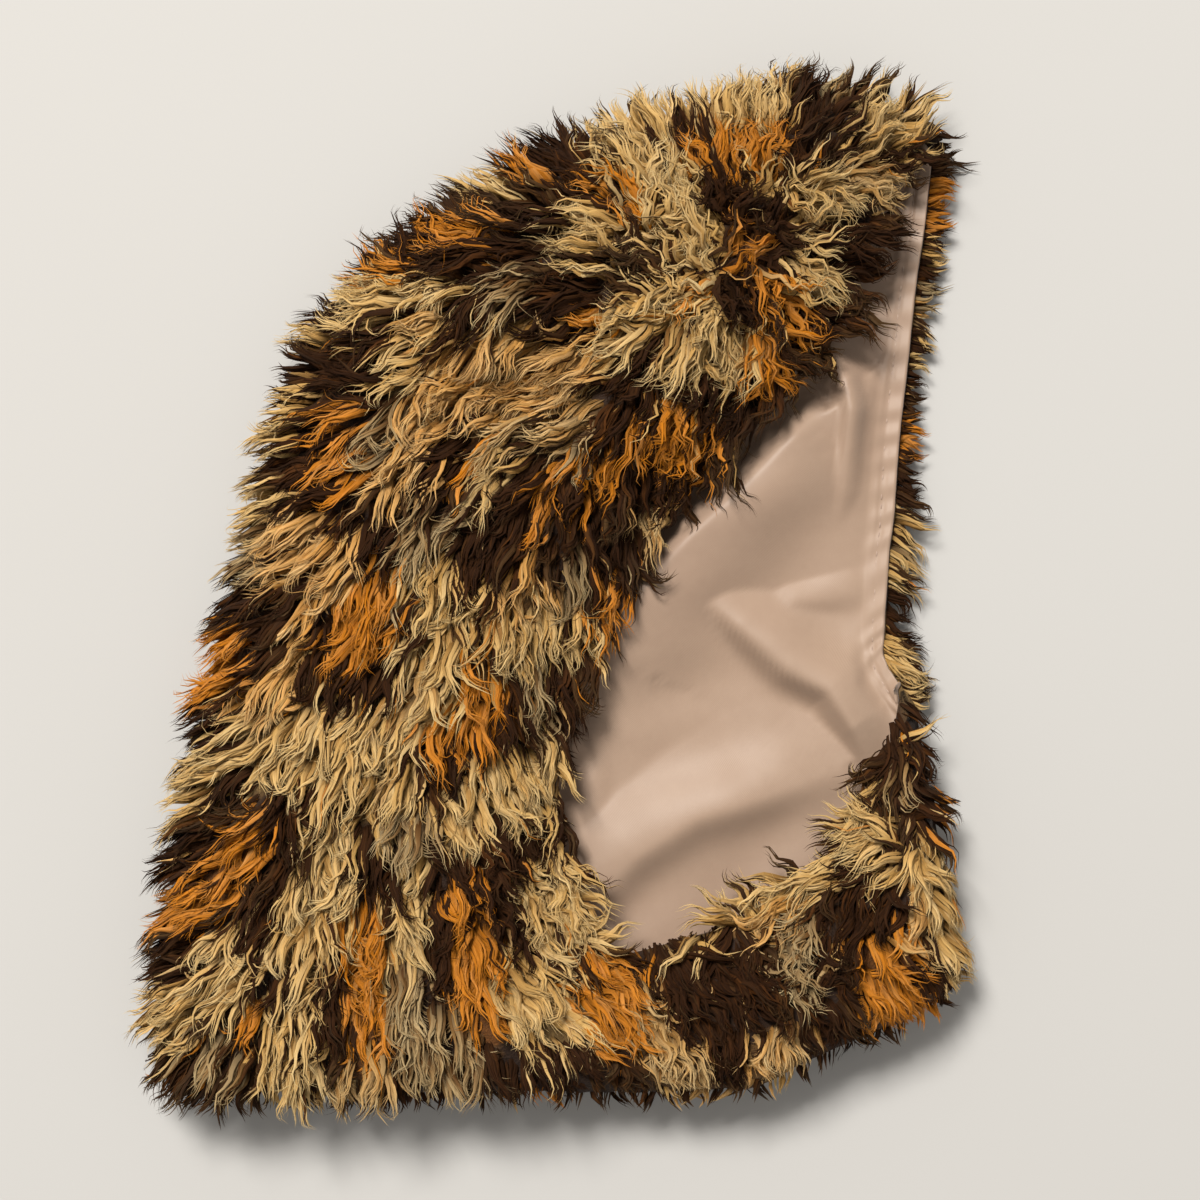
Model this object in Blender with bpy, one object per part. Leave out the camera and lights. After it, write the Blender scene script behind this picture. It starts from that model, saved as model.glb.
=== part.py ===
# Leopard fur hood, lying on its side: two long-pile fur panels sewn along the crown, back and
# chin fold, each lined with satin. The face opening looks up and to +X, the neck opening to -Y.
# Metres, +Z up, floor at z = 0, origin in the middle of the footprint.
import math

import bmesh
import bpy
import numpy as np

# Outline of the cloth, without the pile
HOOD_DEPTH = 0.2715  # back fold to the fold at the chin
HOOD_HEIGHT = 0.3357  # hem to crown

# Cloth, pile and the gap between layers
BACKING = 0.0015
LINING = 0.0010
CLEARANCE = 0.0003
PILE = 0.0115  # depth of the standing pile
UNDER_PILE = 0.0050  # the same pile pressed flat under the hood
LOCK_WIDTH = 0.0172
LOCK_LENGTH = 0.0180
TIP = 0.0090  # how far lock tips reach past the pile at the folds and the hem
FRINGE = 0.0070  # pile that overhangs the near edge of the face opening
FAR_FRINGE = 0.0105  # pile that shows past the far edge of the face opening

# Heights of the layers over each other
SEAM_RISE = 0.0070  # lining of the far side up to the seam between the panels
EDGE_LIFT = 0.0025  # near edge of the face opening over the seam, beside its own layers
LOFT = 0.0185  # crest of the near panel over that edge
HEM_LIFT = 0.0070  # near panel's hem over the seam, which opens the neck
FAR_HEM_LIFT = 0.0012  # far panel's hem over its flat middle
EDGE_CURL = 0.0030  # far edge of the face opening over the flat middle

# How far in from an edge each curve runs
NEAR_RUN = 0.0450
FAR_RUN = 0.0220
FACE_RUN = 0.0420
CURL_RUN = 0.0120
FOLD_POWER = 2.2

# Lining's turned and stitched casing along the face opening
CASING_WIDTH = 0.0085
CASING_LIFT = 0.0007

# Grid of the smooth sheets
PANEL_STEP = 0.0175
END_STEP = 0.0060
SOFT_STEP = 0.015  # share of the panel over which the pile evens out the cloth's own bends
CREASE_DEPTH = 0.0080
RIDGE_HEIGHT = 0.0045

# Ribs from the face opening to the outline, starting at the forehead and going over the crown,
# down the back and along the hem to the chin. Shares of HOOD_DEPTH from the back and of
# HOOD_HEIGHT from the hem; open is 0 where the panels are sewn and 1 where the neck is open.
RIB_COLUMNS = ("out_x", "out_y", "near_x", "near_y", "far_x", "far_y", "open")
RIBS = (
    (0.950, 0.988, 0.943, 0.969, 0.957, 0.967, 0.0),
    (0.803, 1.000, 0.896, 0.923, 0.953, 0.923, 0.0),
    (0.638, 0.977, 0.856, 0.830, 0.947, 0.877, 0.0),
    (0.473, 0.930, 0.816, 0.771, 0.939, 0.836, 0.0),
    (0.333, 0.861, 0.752, 0.720, 0.933, 0.794, 0.0),
    (0.225, 0.784, 0.670, 0.645, 0.928, 0.753, 0.0),
    (0.158, 0.687, 0.606, 0.584, 0.922, 0.710, 0.0),
    (0.111, 0.568, 0.564, 0.517, 0.916, 0.666, 0.0),
    (0.071, 0.445, 0.523, 0.450, 0.912, 0.622, 0.0),
    (0.043, 0.322, 0.492, 0.373, 0.909, 0.584, 0.0),
    (0.015, 0.178, 0.474, 0.291, 0.903, 0.546, 0.0),
    (0.000, 0.054, 0.480, 0.227, 0.900, 0.507, 0.0),
    (0.018, 0.014, 0.490, 0.193, 0.898, 0.486, 0.3),
    (0.091, 0.003, 0.498, 0.172, 0.897, 0.466, 0.9),
    (0.269, 0.000, 0.513, 0.150, 0.896, 0.452, 1.0),
    (0.460, 0.000, 0.546, 0.134, 0.896, 0.440, 1.0),
    (0.651, 0.000, 0.638, 0.151, 0.900, 0.431, 1.0),
    (0.727, 0.005, 0.695, 0.165, 0.903, 0.425, 1.0),
    (0.797, 0.032, 0.765, 0.195, 0.907, 0.420, 1.0),
    (0.841, 0.048, 0.813, 0.225, 0.911, 0.414, 0.8),
    (0.924, 0.073, 0.879, 0.296, 0.914, 0.409, 0.4),
    (0.983, 0.101, 0.917, 0.404, 0.917, 0.404, 0.0),
)

# Buckles of the near panel: a line from start to end, with shares of the same two sizes for its
# places and its width, and of CREASE_DEPTH for the step down on its lower side
CREASE_COLUMNS = ("x0", "y0", "x1", "y1", "width", "depth")
CREASES = (
    (0.315, 0.765, 0.430, 0.745, 0.050, 0.9),
    (0.430, 0.745, 0.575, 0.765, 0.055, 1.0),
    (0.560, 0.620, 0.700, 0.700, 0.070, 0.4),
    (0.200, 0.500, 0.400, 0.350, 0.090, 0.25),
)

# Soft ridges in the lining of the far side: start, middle, end, half width and height as shares
RIDGE_COLUMNS = ("x0", "y0", "x1", "y1", "x2", "y2", "width", "height")
RIDGES = (
    (0.560, 0.440, 0.680, 0.560, 0.830, 0.700, 0.040, 1.00),
    (0.640, 0.500, 0.760, 0.430, 0.880, 0.330, 0.035, 0.80),
    (0.800, 0.740, 0.850, 0.690, 0.860, 0.580, 0.030, 0.70),
    (0.540, 0.190, 0.640, 0.300, 0.780, 0.300, 0.050, 0.60),
)

NEAR_ROWS = (0.0, 0.08, 0.2, 0.36, 0.54, 0.72, 0.86, 0.95, 1.0)
FAR_ROWS = (0.10, 0.19, 0.29, 0.40, 0.52, 0.65, 0.78, 0.88, 0.95, 1.0)
UNDER_ROWS = (0.16, 0.34, 0.52, 0.68)

# Rows of points down a lock. sweep is how many columns the row trails back along the outline, depth
# the pile between locks and crown what a lock's middle adds, as shares of the pile, and uneven is
# how much the depth varies.
LOCK_COLUMNS = ("sweep", "depth", "crown", "uneven")
LOCK_ROWS = {
    "root": (0.2, 0.30, 0.15, 0.02),
    "body": (0.5, 0.62, 0.30, 0.08),
    "tip": (1.4, 0.70, 0.30, 0.12),
}

# Reach of the lock tips: the least, and what a lock's middle adds
LOCK_REACH = (-0.20, 0.45)  # past the lock's own row, shares of its length
LOCK_TUCK = 0.10  # how far the next lock starts under that tip
FRINGE_REACH = (0.50, 0.50)  # shares of FRINGE
FAR_FRINGE_REACH = (0.25, 0.30, 0.45)  # at the two ends, between them, and added; of FAR_FRINGE
RIM_REACH = (0.25, 0.75)  # at the outline, shares of TIP
END_REACH = (0.2, 0.6)  # past the forehead seam and the chin fold, shares of TIP
RIM_OVERHANG = 0.55  # pile that stands out past a sewn outline, share of PILE
RIM_INSET = 0.05  # last row of locks inside the outline, share of the rib
RIM_SHORT = 0.25  # how much of its reach that row keeps

# Bands of locks that show round the far side's outline, as shares of each rib
FAR_BANDS = ((0.72, 0.84), (0.84, 0.95))
FAR_BAND_DEPTH = (0.35, 0.50)  # shares of the pile left standing: between locks, and added


def spread_of(rows, columns):
    return {name: np.array([row[at] for row in rows], float) for at, name in enumerate(columns)}


def place_ribs():
    """Rib table in metres, with each rib's share of the way along the outline."""
    ribs = spread_of(RIBS, RIB_COLUMNS)
    for name in ribs:
        if name.endswith("_x"):
            ribs[name] = ribs[name] * HOOD_DEPTH
        if name.endswith("_y"):
            ribs[name] = ribs[name] * HOOD_HEIGHT
    steps = np.hypot(np.diff(ribs["out_x"]), np.diff(ribs["out_y"]))
    ribs["length"] = steps.sum()
    ribs["at"] = np.concatenate(([0.0], np.cumsum(steps))) / steps.sum()
    return ribs


RIB = place_ribs()
FAR_STACK = BACKING + CLEARANCE + LINING
SEAM = UNDER_PILE + FAR_STACK + SEAM_RISE
NEAR_STACK = BACKING + CLEARANCE + LINING
SEWN = 0.02  # share of the opening at the outline under which the panels are sewn
RESTING = 0.12 * UNDER_PILE  # pile this close to the floor lies on it


def along_ribs(name, u):
    """Smooth curve through one column of the rib table."""
    at, value = RIB["at"], RIB[name]
    slope = np.gradient(value, at)
    k = np.clip(np.searchsorted(at, u, side="right") - 1, 0, len(at) - 2)
    span = at[k + 1] - at[k]
    t = (u - at[k]) / span
    start = (1 + 2 * t) * (1 - t) ** 2 * value[k] + t * (1 - t) ** 2 * span * slope[k]
    end = t * t * (3 - 2 * t) * value[k + 1] + t * t * (t - 1) * span * slope[k + 1]
    return start + end


def fold_curve(distance, run):
    """0 at a folded edge and 1 past its run, leaving the edge straight up."""
    t = np.clip(distance / run, 0.0, 1.0)
    return (1 - (1 - t) ** FOLD_POWER) ** (1 / FOLD_POWER)


def smooth_step(t):
    t = np.clip(t, 0.0, 1.0)
    return t * t * (3 - 2 * t)


def rib_plan(edge, u, v):
    """Plan position at share v of the way from the face opening to the outline, and the rib's length."""
    x0, y0 = along_ribs(edge + "_x", u), along_ribs(edge + "_y", u)
    x1, y1 = along_ribs("out_x", u), along_ribs("out_y", u)
    return x0 + (x1 - x0) * v, y0 + (y1 - y0) * v, np.hypot(x1 - x0, y1 - y0)


def end_folds(edge, x, y, run):
    """0 on the forehead seam and on the chin fold, 1 past the run from both."""
    total = np.ones_like(x)
    for end in (0, -1):
        ax, ay = RIB[edge + "_x"][end], RIB[edge + "_y"][end]
        bx, by = RIB["out_x"][end] - ax, RIB["out_y"][end] - ay
        along = (((x - ax) * bx + (y - ay) * by) / (bx * bx + by * by)).clip(0, 1)
        total = total * fold_curve(np.hypot(x - ax - along * bx, y - ay - along * by), run)
    return total


def buckles(x, y):
    """Height change of the near panel along its creases."""
    total = np.zeros_like(x)
    table = spread_of(CREASES, CREASE_COLUMNS)
    for x0, y0, x1, y1, width, depth in zip(*(table[name] for name in CREASE_COLUMNS)):
        ax, ay = x0 * HOOD_DEPTH, y0 * HOOD_HEIGHT
        bx, by = x1 * HOOD_DEPTH, y1 * HOOD_HEIGHT
        run, half = math.hypot(bx - ax, by - ay), width * HOOD_HEIGHT
        along = ((x - ax) * (bx - ax) + (y - ay) * (by - ay)) / run**2
        above = ((y - ay) * (bx - ax) - (x - ax) * (by - ay)) / run
        past = np.maximum(0, np.abs(along - 0.5) - 0.5) * run
        fade = np.exp(-((past / half) ** 2))
        low = np.exp(-(((above + 0.45 * half) / (0.55 * half)) ** 2))
        high = np.exp(-(((above - 0.7 * half) / (0.8 * half)) ** 2))
        total += CREASE_DEPTH * depth * fade * (0.45 * high - 0.55 * low)
    return total


def ridges(x, y):
    """Height of the soft folds in the far lining."""
    total = np.zeros_like(x)
    table = spread_of(RIDGES, RIDGE_COLUMNS)
    for x0, y0, x1, y1, x2, y2, width, height in zip(*(table[name] for name in RIDGE_COLUMNS)):
        nearest = np.full_like(x, np.inf)
        strength = np.zeros_like(x)
        for t in np.linspace(0, 1, 25):
            px = ((1 - t) ** 2 * x0 + 2 * t * (1 - t) * x1 + t * t * x2) * HOOD_DEPTH
            py = ((1 - t) ** 2 * y0 + 2 * t * (1 - t) * y1 + t * t * y2) * HOOD_HEIGHT
            away = np.hypot(x - px, y - py)
            closer = away < nearest
            nearest = np.where(closer, away, nearest)
            strength = np.where(closer, math.sin(math.pi * (0.12 + 0.76 * t)), strength)
        half = width * HOOD_HEIGHT
        total = np.maximum(total, height * strength * np.exp(-((nearest / half) ** 2)))
    return RIDGE_HEIGHT * total


def near_sheet(u, v):
    """Cloth of the near side, the panel on top."""
    x, y, length = rib_plan("near", u, v)
    is_open = along_ribs("open", u).clip(0, 1)
    layers = NEAR_STACK + EDGE_LIFT
    hem = is_open * HEM_LIFT / (layers + LOFT)
    rim = hem + (1 - hem) * fold_curve((1 - v) * length, NEAR_RUN)
    height = layers + LOFT * smooth_step(v * length / FACE_RUN) + buckles(x, y)
    return np.stack([x, y, SEAM + height * rim * end_folds("near", x, y, NEAR_RUN)], axis=-1)


def far_sheet(u, v):
    """Cloth of the far side, the panel on the floor."""
    x, y, length = rib_plan("far", u, v)
    is_open = along_ribs("open", u).clip(0, 1)
    rise = SEAM - UNDER_PILE
    flat = is_open * (1 - FAR_HEM_LIFT / rise)
    wall = flat + (1 - flat) * fold_curve((1 - v) * length, FAR_RUN)
    wall = wall * end_folds("far", x, y, FAR_RUN)
    curl = EDGE_CURL * np.exp(-v * length / CURL_RUN) * wall
    return np.stack([x, y, UNDER_PILE + rise * (1 - wall) + curl], axis=-1)


def normals_of(sheet, u, v, step=0.002):
    u0, u1 = np.clip(u - step, 0, 1), np.clip(u + step, 0, 1)
    v0, v1 = np.clip(v - step, 0, 1), np.clip(v + step, 0, 1)
    across = np.cross(sheet(u, v1) - sheet(u, v0), sheet(u1, v) - sheet(u0, v))
    return across / np.linalg.norm(across, axis=-1, keepdims=True)


def level_side_of(edge, u):
    """Level direction across an edge: out of the panel along the face opening, into it at the outline."""
    step = 0.004
    u0, u1 = np.clip(u - step, 0, 1), np.clip(u + step, 0, 1)
    dx = along_ribs(edge + "_x", u1) - along_ribs(edge + "_x", u0)
    dy = along_ribs(edge + "_y", u1) - along_ribs(edge + "_y", u0)
    return np.stack([-dy, dx, 0 * dx], axis=-1) / np.hypot(dx, dy)[..., None]


def close_ends(points, height):
    """Lays the first and last columns level along the forehead seam and the chin fold, with tips."""
    at = np.linspace(0, 1, len(points))[:, None]
    odd = np.arange(len(points)) % 2
    for column, neighbour in ((0, 1), (-1, -2)):
        start, run = points[0, column], points[-1, column] - points[0, column]
        size = math.hypot(run[0], run[1])
        side = np.array([run[1], -run[0], 0]) / size
        side *= np.sign(side @ (points[:, column] - points[:, neighbour]).mean(axis=0))
        tips = TIP * END_REACH[0] + min(TIP * END_REACH[1], size / len(points)) * odd
        points[:, column] = start + run * at + side * tips[:, None]
        points[:, column, 2] = height
    return points


class Locks:
    """Columns of locks across a panel; each lock is two columns wide, and rows are staggered."""

    def __init__(self, seed):
        count = 2 * max(6, round(RIB["length"] / LOCK_WIDTH))
        self.u = np.linspace(0, 1, count + 1)
        self.chance = np.random.default_rng(seed)
        self.sweep = np.sin(np.pi * np.clip((self.u - 0.1) / 0.55, 0, 1)) / count

    def centre(self, band):
        return ((np.arange(len(self.u)) + band) % 2 == 0).astype(float)

    def teeth(self, edge):
        """1 at a lock's middle and 0 between locks, along an edge where the columns lie close."""
        x, y = along_ribs(edge + "_x", self.u), along_ribs(edge + "_y", self.u)
        run = np.concatenate(([0.0], np.cumsum(np.hypot(np.diff(x), np.diff(y)))))
        return np.abs(2 * (run / (0.6 * LOCK_WIDTH) % 1) - 1)

    def vary(self, amount):
        return 1 + amount * self.chance.uniform(-1, 1, len(self.u))

    def swept(self, share):
        return np.clip(self.u + share * self.sweep, 0, 1)


def reach_of(shares, centre):
    """From the least reach between locks to the most at a lock's middle."""
    return shares[0] + shares[1] * centre


def near_pile():
    """Outer face of the near panel: rows of overlapping locks from the face edge to the outline."""
    locks = Locks(seed=11)
    u, flat = locks.u, np.zeros_like(locks.u)
    rib_length = rib_plan("near", u, flat)[2].mean()
    bands = max(3, round(rib_length / LOCK_LENGTH))
    edge, rim = near_sheet(u, flat), near_sheet(u, flat + 1)
    up, over = normals_of(near_sheet, u, flat), level_side_of("near", u)
    middle_x, middle_y, _ = rib_plan("near", u, flat + 0.5)
    lock = LOCK_LENGTH / rib_length * end_folds("near", middle_x, middle_y, NEAR_RUN)
    pile = PILE * end_folds("near", middle_x, middle_y, LOCK_LENGTH)
    centre = locks.centre(1) * end_folds("near", edge[:, 0], edge[:, 1], FACE_RUN)
    tips = FRINGE * reach_of(FRINGE_REACH, centre) * locks.vary(LOCK_ROWS["tip"][3])
    rows = [edge + over * tips[:, None] - up * 0.1 * PILE]
    rows.append(edge + over * 0.35 * FRINGE + up * LOCK_ROWS["body"][1] * PILE)
    shares = [-0.02, -0.01]

    def add_row(part, v_row, centre):
        sweep, depth, crown, uneven = LOCK_ROWS[part]
        height = pile * (depth + crown * centre) * locks.vary(uneven)
        u_row, v_row = locks.swept(sweep), np.clip(v_row, 0, 1)
        up_row = normals_of(near_sheet, u_row, v_row, SOFT_STEP)
        rows.append(near_sheet(u_row, v_row) + up_row * height[:, None])
        shares.append(float(np.mean(v_row)))

    for band in range(bands):
        last = band == bands - 1
        centre, before = locks.centre(band), locks.centre(band - 1)
        reach = reach_of(LOCK_REACH, centre) * lock * (RIM_SHORT if last else 1)
        if band:
            under = (reach_of(LOCK_REACH, before) - LOCK_TUCK) * lock
            add_row("root", band / bands + under, centre)
        add_row("body", (band + 0.5) / bands + 0.2 * reach, centre)
        add_row("tip", (band + 1) / bands - (RIM_INSET if last else 0) + reach, centre)
    is_open = along_ribs("open", u).clip(0, 1)
    reach = TIP * reach_of(RIM_REACH, locks.centre(bands)) * locks.vary(0.3)
    reach += RIM_OVERHANG * PILE * (1 - is_open)
    rows.append(rim - level_side_of("out", u) * reach[:, None])
    shares.append(1.0)
    points = close_ends(np.stack(rows), SEAM + CLEARANCE / 2)
    points[..., 2] = np.maximum(points[..., 2], SEAM + CLEARANCE / 2)
    points[-1, is_open < SEWN, 2] = SEAM + CLEARANCE / 2
    return points, u, np.array(shares)


def far_pile():
    """Outer face of the far panel: pressed flat on the floor, with locks round its outline."""
    locks = Locks(seed=23)
    u, flat = locks.u, np.zeros_like(locks.u)
    edge, rim = far_sheet(u, flat), far_sheet(u, flat + 1)
    up, over = normals_of(far_sheet, u, flat), level_side_of("far", u)
    ends = end_folds("far", edge[:, 0], edge[:, 1], FAR_RUN)
    crest = BACKING + LOCK_ROWS["root"][1] * PILE * ends
    least, between, added = FAR_FRINGE_REACH
    tips = FAR_FRINGE * (least + (between + added * locks.teeth("far")) * ends)
    rows = [edge + over * 0.35 * FAR_FRINGE + up * crest[:, None], edge + over * tips[:, None]]
    rows[1][:, 2] *= 0.55
    shares = [-0.02, -0.01]

    def add_row(part, v_row, depth):
        u_row, v_row = locks.swept(LOCK_ROWS[part][0] if part else 0), np.clip(v_row, 0, 1)
        up_row = normals_of(far_sheet, u_row, v_row, SOFT_STEP)
        rows.append(far_sheet(u_row, v_row) - up_row * depth[:, None])
        shares.append(float(np.mean(v_row)))

    for share in UNDER_ROWS:
        add_row(None, flat + share, flat + UNDER_PILE + EDGE_CURL * math.exp(-8 * share))
    for band, (start, end) in enumerate(FAR_BANDS):
        centre = locks.centre(band)
        reach = reach_of(LOCK_REACH, centre) * (end - start)
        depth = UNDER_PILE + (PILE - UNDER_PILE) * reach_of(FAR_BAND_DEPTH, centre)
        add_row("root", flat + start, flat + 0.7 * UNDER_PILE)
        add_row("body", (start + end) / 2 + 0.3 * reach, depth * locks.vary(LOCK_ROWS["body"][3]))
        add_row("tip", end + 0.6 * reach - 0.01, depth * locks.vary(LOCK_ROWS["body"][3]))
    is_open = along_ribs("open", u).clip(0, 1)
    reach = TIP * reach_of(RIM_REACH, locks.centre(0)) * locks.vary(0.3)
    reach += RIM_OVERHANG * PILE * (1 - is_open)
    rows.append(rim - level_side_of("out", u) * reach[:, None])
    rows[-1][:, 2] -= 0.4 * UNDER_PILE * is_open
    shares.append(1.0)
    points = np.stack(rows)
    points[..., 2] = np.clip(points[..., 2], 0, SEAM - CLEARANCE / 2)
    points[..., 2] = np.where(points[..., 2] < RESTING, 0, points[..., 2])
    points = close_ends(points, SEAM - CLEARANCE / 2)
    points[-1, is_open < SEWN, 2] = SEAM - CLEARANCE / 2
    return points, u, np.array(shares)


def sheet_columns():
    """Columns of the smooth faces, with one more close to each end."""
    inset = END_STEP / RIB["length"]
    count = max(8, round(RIB["length"] / PANEL_STEP))
    return np.concatenate(([0.0], np.linspace(inset, 1 - inset, count), [1.0]))


def near_rows(u):
    return np.array([np.full_like(u, share) for share in NEAR_ROWS])


def far_rows(u):
    """Rows of the far panel's smooth faces; the first three carry the casing."""
    length = rib_plan("far", u, np.zeros_like(u))[2]
    casing = np.minimum(CASING_WIDTH / length, 0.3)
    rows = [0 * u, casing, casing + 0.012]
    first = rows[-1] + 0.02
    for share in FAR_ROWS:
        rows.append(first + (1 - first) * (share - FAR_ROWS[0]) / (1 - FAR_ROWS[0]))
    return np.array(rows)


def offset_face(sheet, u, rows, distance):
    grid_u = np.broadcast_to(u, rows.shape)
    return sheet(grid_u, rows) + normals_of(sheet, grid_u, rows) * np.asarray(distance)[..., None]


def near_limit(points):
    points[..., 2] = np.maximum(points[..., 2], SEAM + CLEARANCE / 2)
    return points


def far_limit(points):
    points[..., 2] = np.clip(points[..., 2], 0, SEAM - CLEARANCE / 2)
    return points


def grid_faces(rows, columns, first):
    faces = []
    for row in range(rows - 1):
        for column in range(columns - 1):
            a = first + row * columns + column
            b, c, d = a + 1, a + columns + 1, a + columns
            faces += [(a, b, c), (a, c, d)]
    return faces


def strip_faces(outer, outer_at, inner, inner_at):
    """Triangles between two runs of vertices that start and end together."""
    faces, i, j = [], 0, 0
    while i < len(outer) - 1 or j < len(inner) - 1:
        step_outer = j == len(inner) - 1 or (
            i < len(outer) - 1 and outer_at[i + 1] <= inner_at[j + 1]
        )
        if step_outer:
            faces.append((outer[i], outer[i + 1], inner[j]))
            i += 1
        else:
            faces.append((outer[i], inner[j + 1], inner[j]))
            j += 1
    return faces


def closed_shell(outer, outer_u, outer_v, inner, inner_u, inner_v):
    """Vertices and faces of a wall between an outer and an inner grid."""
    outer_at = np.arange(outer[..., 0].size).reshape(outer.shape[:2])
    inner_at = np.arange(inner[..., 0].size).reshape(inner.shape[:2]) + outer_at.size
    points = np.concatenate((outer.reshape(-1, 3), inner.reshape(-1, 3)))
    faces = grid_faces(*outer.shape[:2], 0)
    faces += [face[::-1] for face in grid_faces(*inner.shape[:2], outer_at.size)]
    for row in (0, -1):
        faces += strip_faces(outer_at[row], outer_u, inner_at[row], inner_u)
    for column in (0, -1):
        faces += strip_faces(outer_at[:, column], outer_v, inner_at[:, column], inner_v)
    return points, faces


def scaled_shares(shares):
    return (shares - shares[0]) / (shares[-1] - shares[0])


def near_side():
    outer, outer_u, outer_v = near_pile()
    u = sheet_columns()
    rows = near_rows(u)
    inner = near_limit(offset_face(near_sheet, u, rows, np.full_like(rows, -BACKING)))
    inner[:, (0, -1), 2] = SEAM + CLEARANCE / 2
    return closed_shell(outer, outer_u, scaled_shares(outer_v), inner, u, np.array(NEAR_ROWS))


def far_side():
    outer, outer_u, outer_v = far_pile()
    u = sheet_columns()
    rows = far_rows(u)
    inner = far_limit(offset_face(far_sheet, u, rows, np.full_like(rows, BACKING)))
    inner[:, (0, -1), 2] = SEAM - CLEARANCE / 2
    return closed_shell(outer, outer_u, scaled_shares(outer_v), inner, u, rows.mean(axis=1))


def near_lining():
    u = sheet_columns()[1:-1]
    rows = near_rows(u)
    under = BACKING + CLEARANCE
    outer = near_limit(offset_face(near_sheet, u, rows, np.full_like(rows, -under)))
    inner = near_limit(offset_face(near_sheet, u, rows, np.full_like(rows, -under - LINING)))
    shares = np.array(NEAR_ROWS)
    return closed_shell(outer, u, shares, inner, u, shares)


def far_lining():
    u = sheet_columns()[1:-1]
    rows = far_rows(u)
    over = BACKING + CLEARANCE
    grid_u = np.broadcast_to(u, rows.shape)
    place = far_sheet(grid_u, rows)
    length = rib_plan("far", u, 0 * u)[2]
    quiet = fold_curve((1 - rows) * length, FAR_RUN)
    quiet = quiet * end_folds("far", place[..., 0], place[..., 1], FAR_RUN)
    raised = ridges(place[..., 0], place[..., 1]) * quiet
    below = offset_face(far_sheet, u, rows, np.full_like(rows, over))
    casing = np.where(np.arange(len(rows)) < 2, CASING_LIFT, 0.0)[:, None] * np.ones_like(rows)
    above = offset_face(far_sheet, u, rows, over + LINING + casing)
    below[..., 2] += raised
    above[..., 2] += raised
    shares = rows.mean(axis=1)
    return closed_shell(far_limit(above), u, shares, far_limit(below), u, shares)


def material_of(name, colour, roughness):
    material = bpy.data.materials.new(name)
    material.use_nodes = True
    shader = material.node_tree.nodes["Principled BSDF"]
    shader.inputs["Base Color"].default_value = (*colour, 1)
    shader.inputs["Roughness"].default_value = roughness
    shader.inputs["Metallic"].default_value = 0
    return material


def add_object(name, points, faces, material):
    shell = bmesh.new()
    corners = [shell.verts.new(point) for point in points]
    for face in faces:
        shell.faces.new([corners[at] for at in face])
    bmesh.ops.recalc_face_normals(shell, faces=shell.faces)
    mesh = bpy.data.meshes.new(name)
    shell.to_mesh(mesh)
    shell.free()
    mesh.materials.append(material)
    made = bpy.data.objects.new(name, mesh)
    bpy.context.scene.collection.objects.link(made)
    return made


def main():
    for old in list(bpy.data.objects):
        bpy.data.objects.remove(old, do_unlink=True)
    fur = material_of("leopard fur", (0.50, 0.29, 0.10), 0.9)
    satin = material_of("satin lining", (0.60, 0.44, 0.33), 0.45)
    pieces = {
        "near_side": (near_side(), fur),
        "far_side": (far_side(), fur),
        "near_lining": (near_lining(), satin),
        "far_lining": (far_lining(), satin),
    }
    everything = np.concatenate([shell[0] for shell, _ in pieces.values()])
    low, high = everything.min(axis=0), everything.max(axis=0)
    middle = np.array([(low[0] + high[0]) / 2, (low[1] + high[1]) / 2, 0])
    for name, ((points, faces), material) in pieces.items():
        add_object(name, points - middle, faces, material)


main()
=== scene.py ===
import math

import bpy
import numpy as np
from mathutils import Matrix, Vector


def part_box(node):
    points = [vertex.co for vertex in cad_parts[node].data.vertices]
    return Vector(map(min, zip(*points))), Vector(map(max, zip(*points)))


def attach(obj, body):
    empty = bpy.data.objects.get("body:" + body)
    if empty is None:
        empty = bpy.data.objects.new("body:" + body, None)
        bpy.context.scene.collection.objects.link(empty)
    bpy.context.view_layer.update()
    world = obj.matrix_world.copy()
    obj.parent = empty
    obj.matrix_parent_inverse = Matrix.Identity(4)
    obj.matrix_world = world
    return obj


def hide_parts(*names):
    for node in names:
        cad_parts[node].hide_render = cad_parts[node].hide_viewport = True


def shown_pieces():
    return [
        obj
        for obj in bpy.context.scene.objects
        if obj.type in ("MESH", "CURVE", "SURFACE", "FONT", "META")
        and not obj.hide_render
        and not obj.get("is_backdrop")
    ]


# Leopard fur hood lying on its side: two long-pile panels, each lined with satin.
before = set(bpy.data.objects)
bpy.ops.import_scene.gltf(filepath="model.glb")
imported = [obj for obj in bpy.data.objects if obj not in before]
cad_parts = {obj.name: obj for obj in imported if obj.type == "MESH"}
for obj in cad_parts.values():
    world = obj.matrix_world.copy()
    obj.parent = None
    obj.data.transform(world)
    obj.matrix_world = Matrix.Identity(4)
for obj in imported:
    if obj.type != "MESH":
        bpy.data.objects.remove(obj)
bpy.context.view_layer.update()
bpy.ops.object.select_all(action="DESELECT")

# the hood's own sizes, in metres, as in the CAD model
hood = {
    "depth": 0.2715, "height": 0.3357,
    "backing": 0.0015, "lining": 0.0010, "gap": 0.0003,
    "underPile": 0.0050,
    "seamRise": 0.0070, "edgeLift": 0.0025, "loft": 0.0185,
    "hemLift": 0.0070, "farHemLift": 0.0012, "edgeCurl": 0.0030,
    "nearRun": 0.0450, "farRun": 0.0220, "faceRun": 0.0420, "curlRun": 0.0120,
    "foldPower": 2.2, "creaseDepth": 0.0080,
}
layers = hood["backing"] + hood["gap"] + hood["lining"]
seam = hood["underPile"] + layers + hood["seamRise"]

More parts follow.
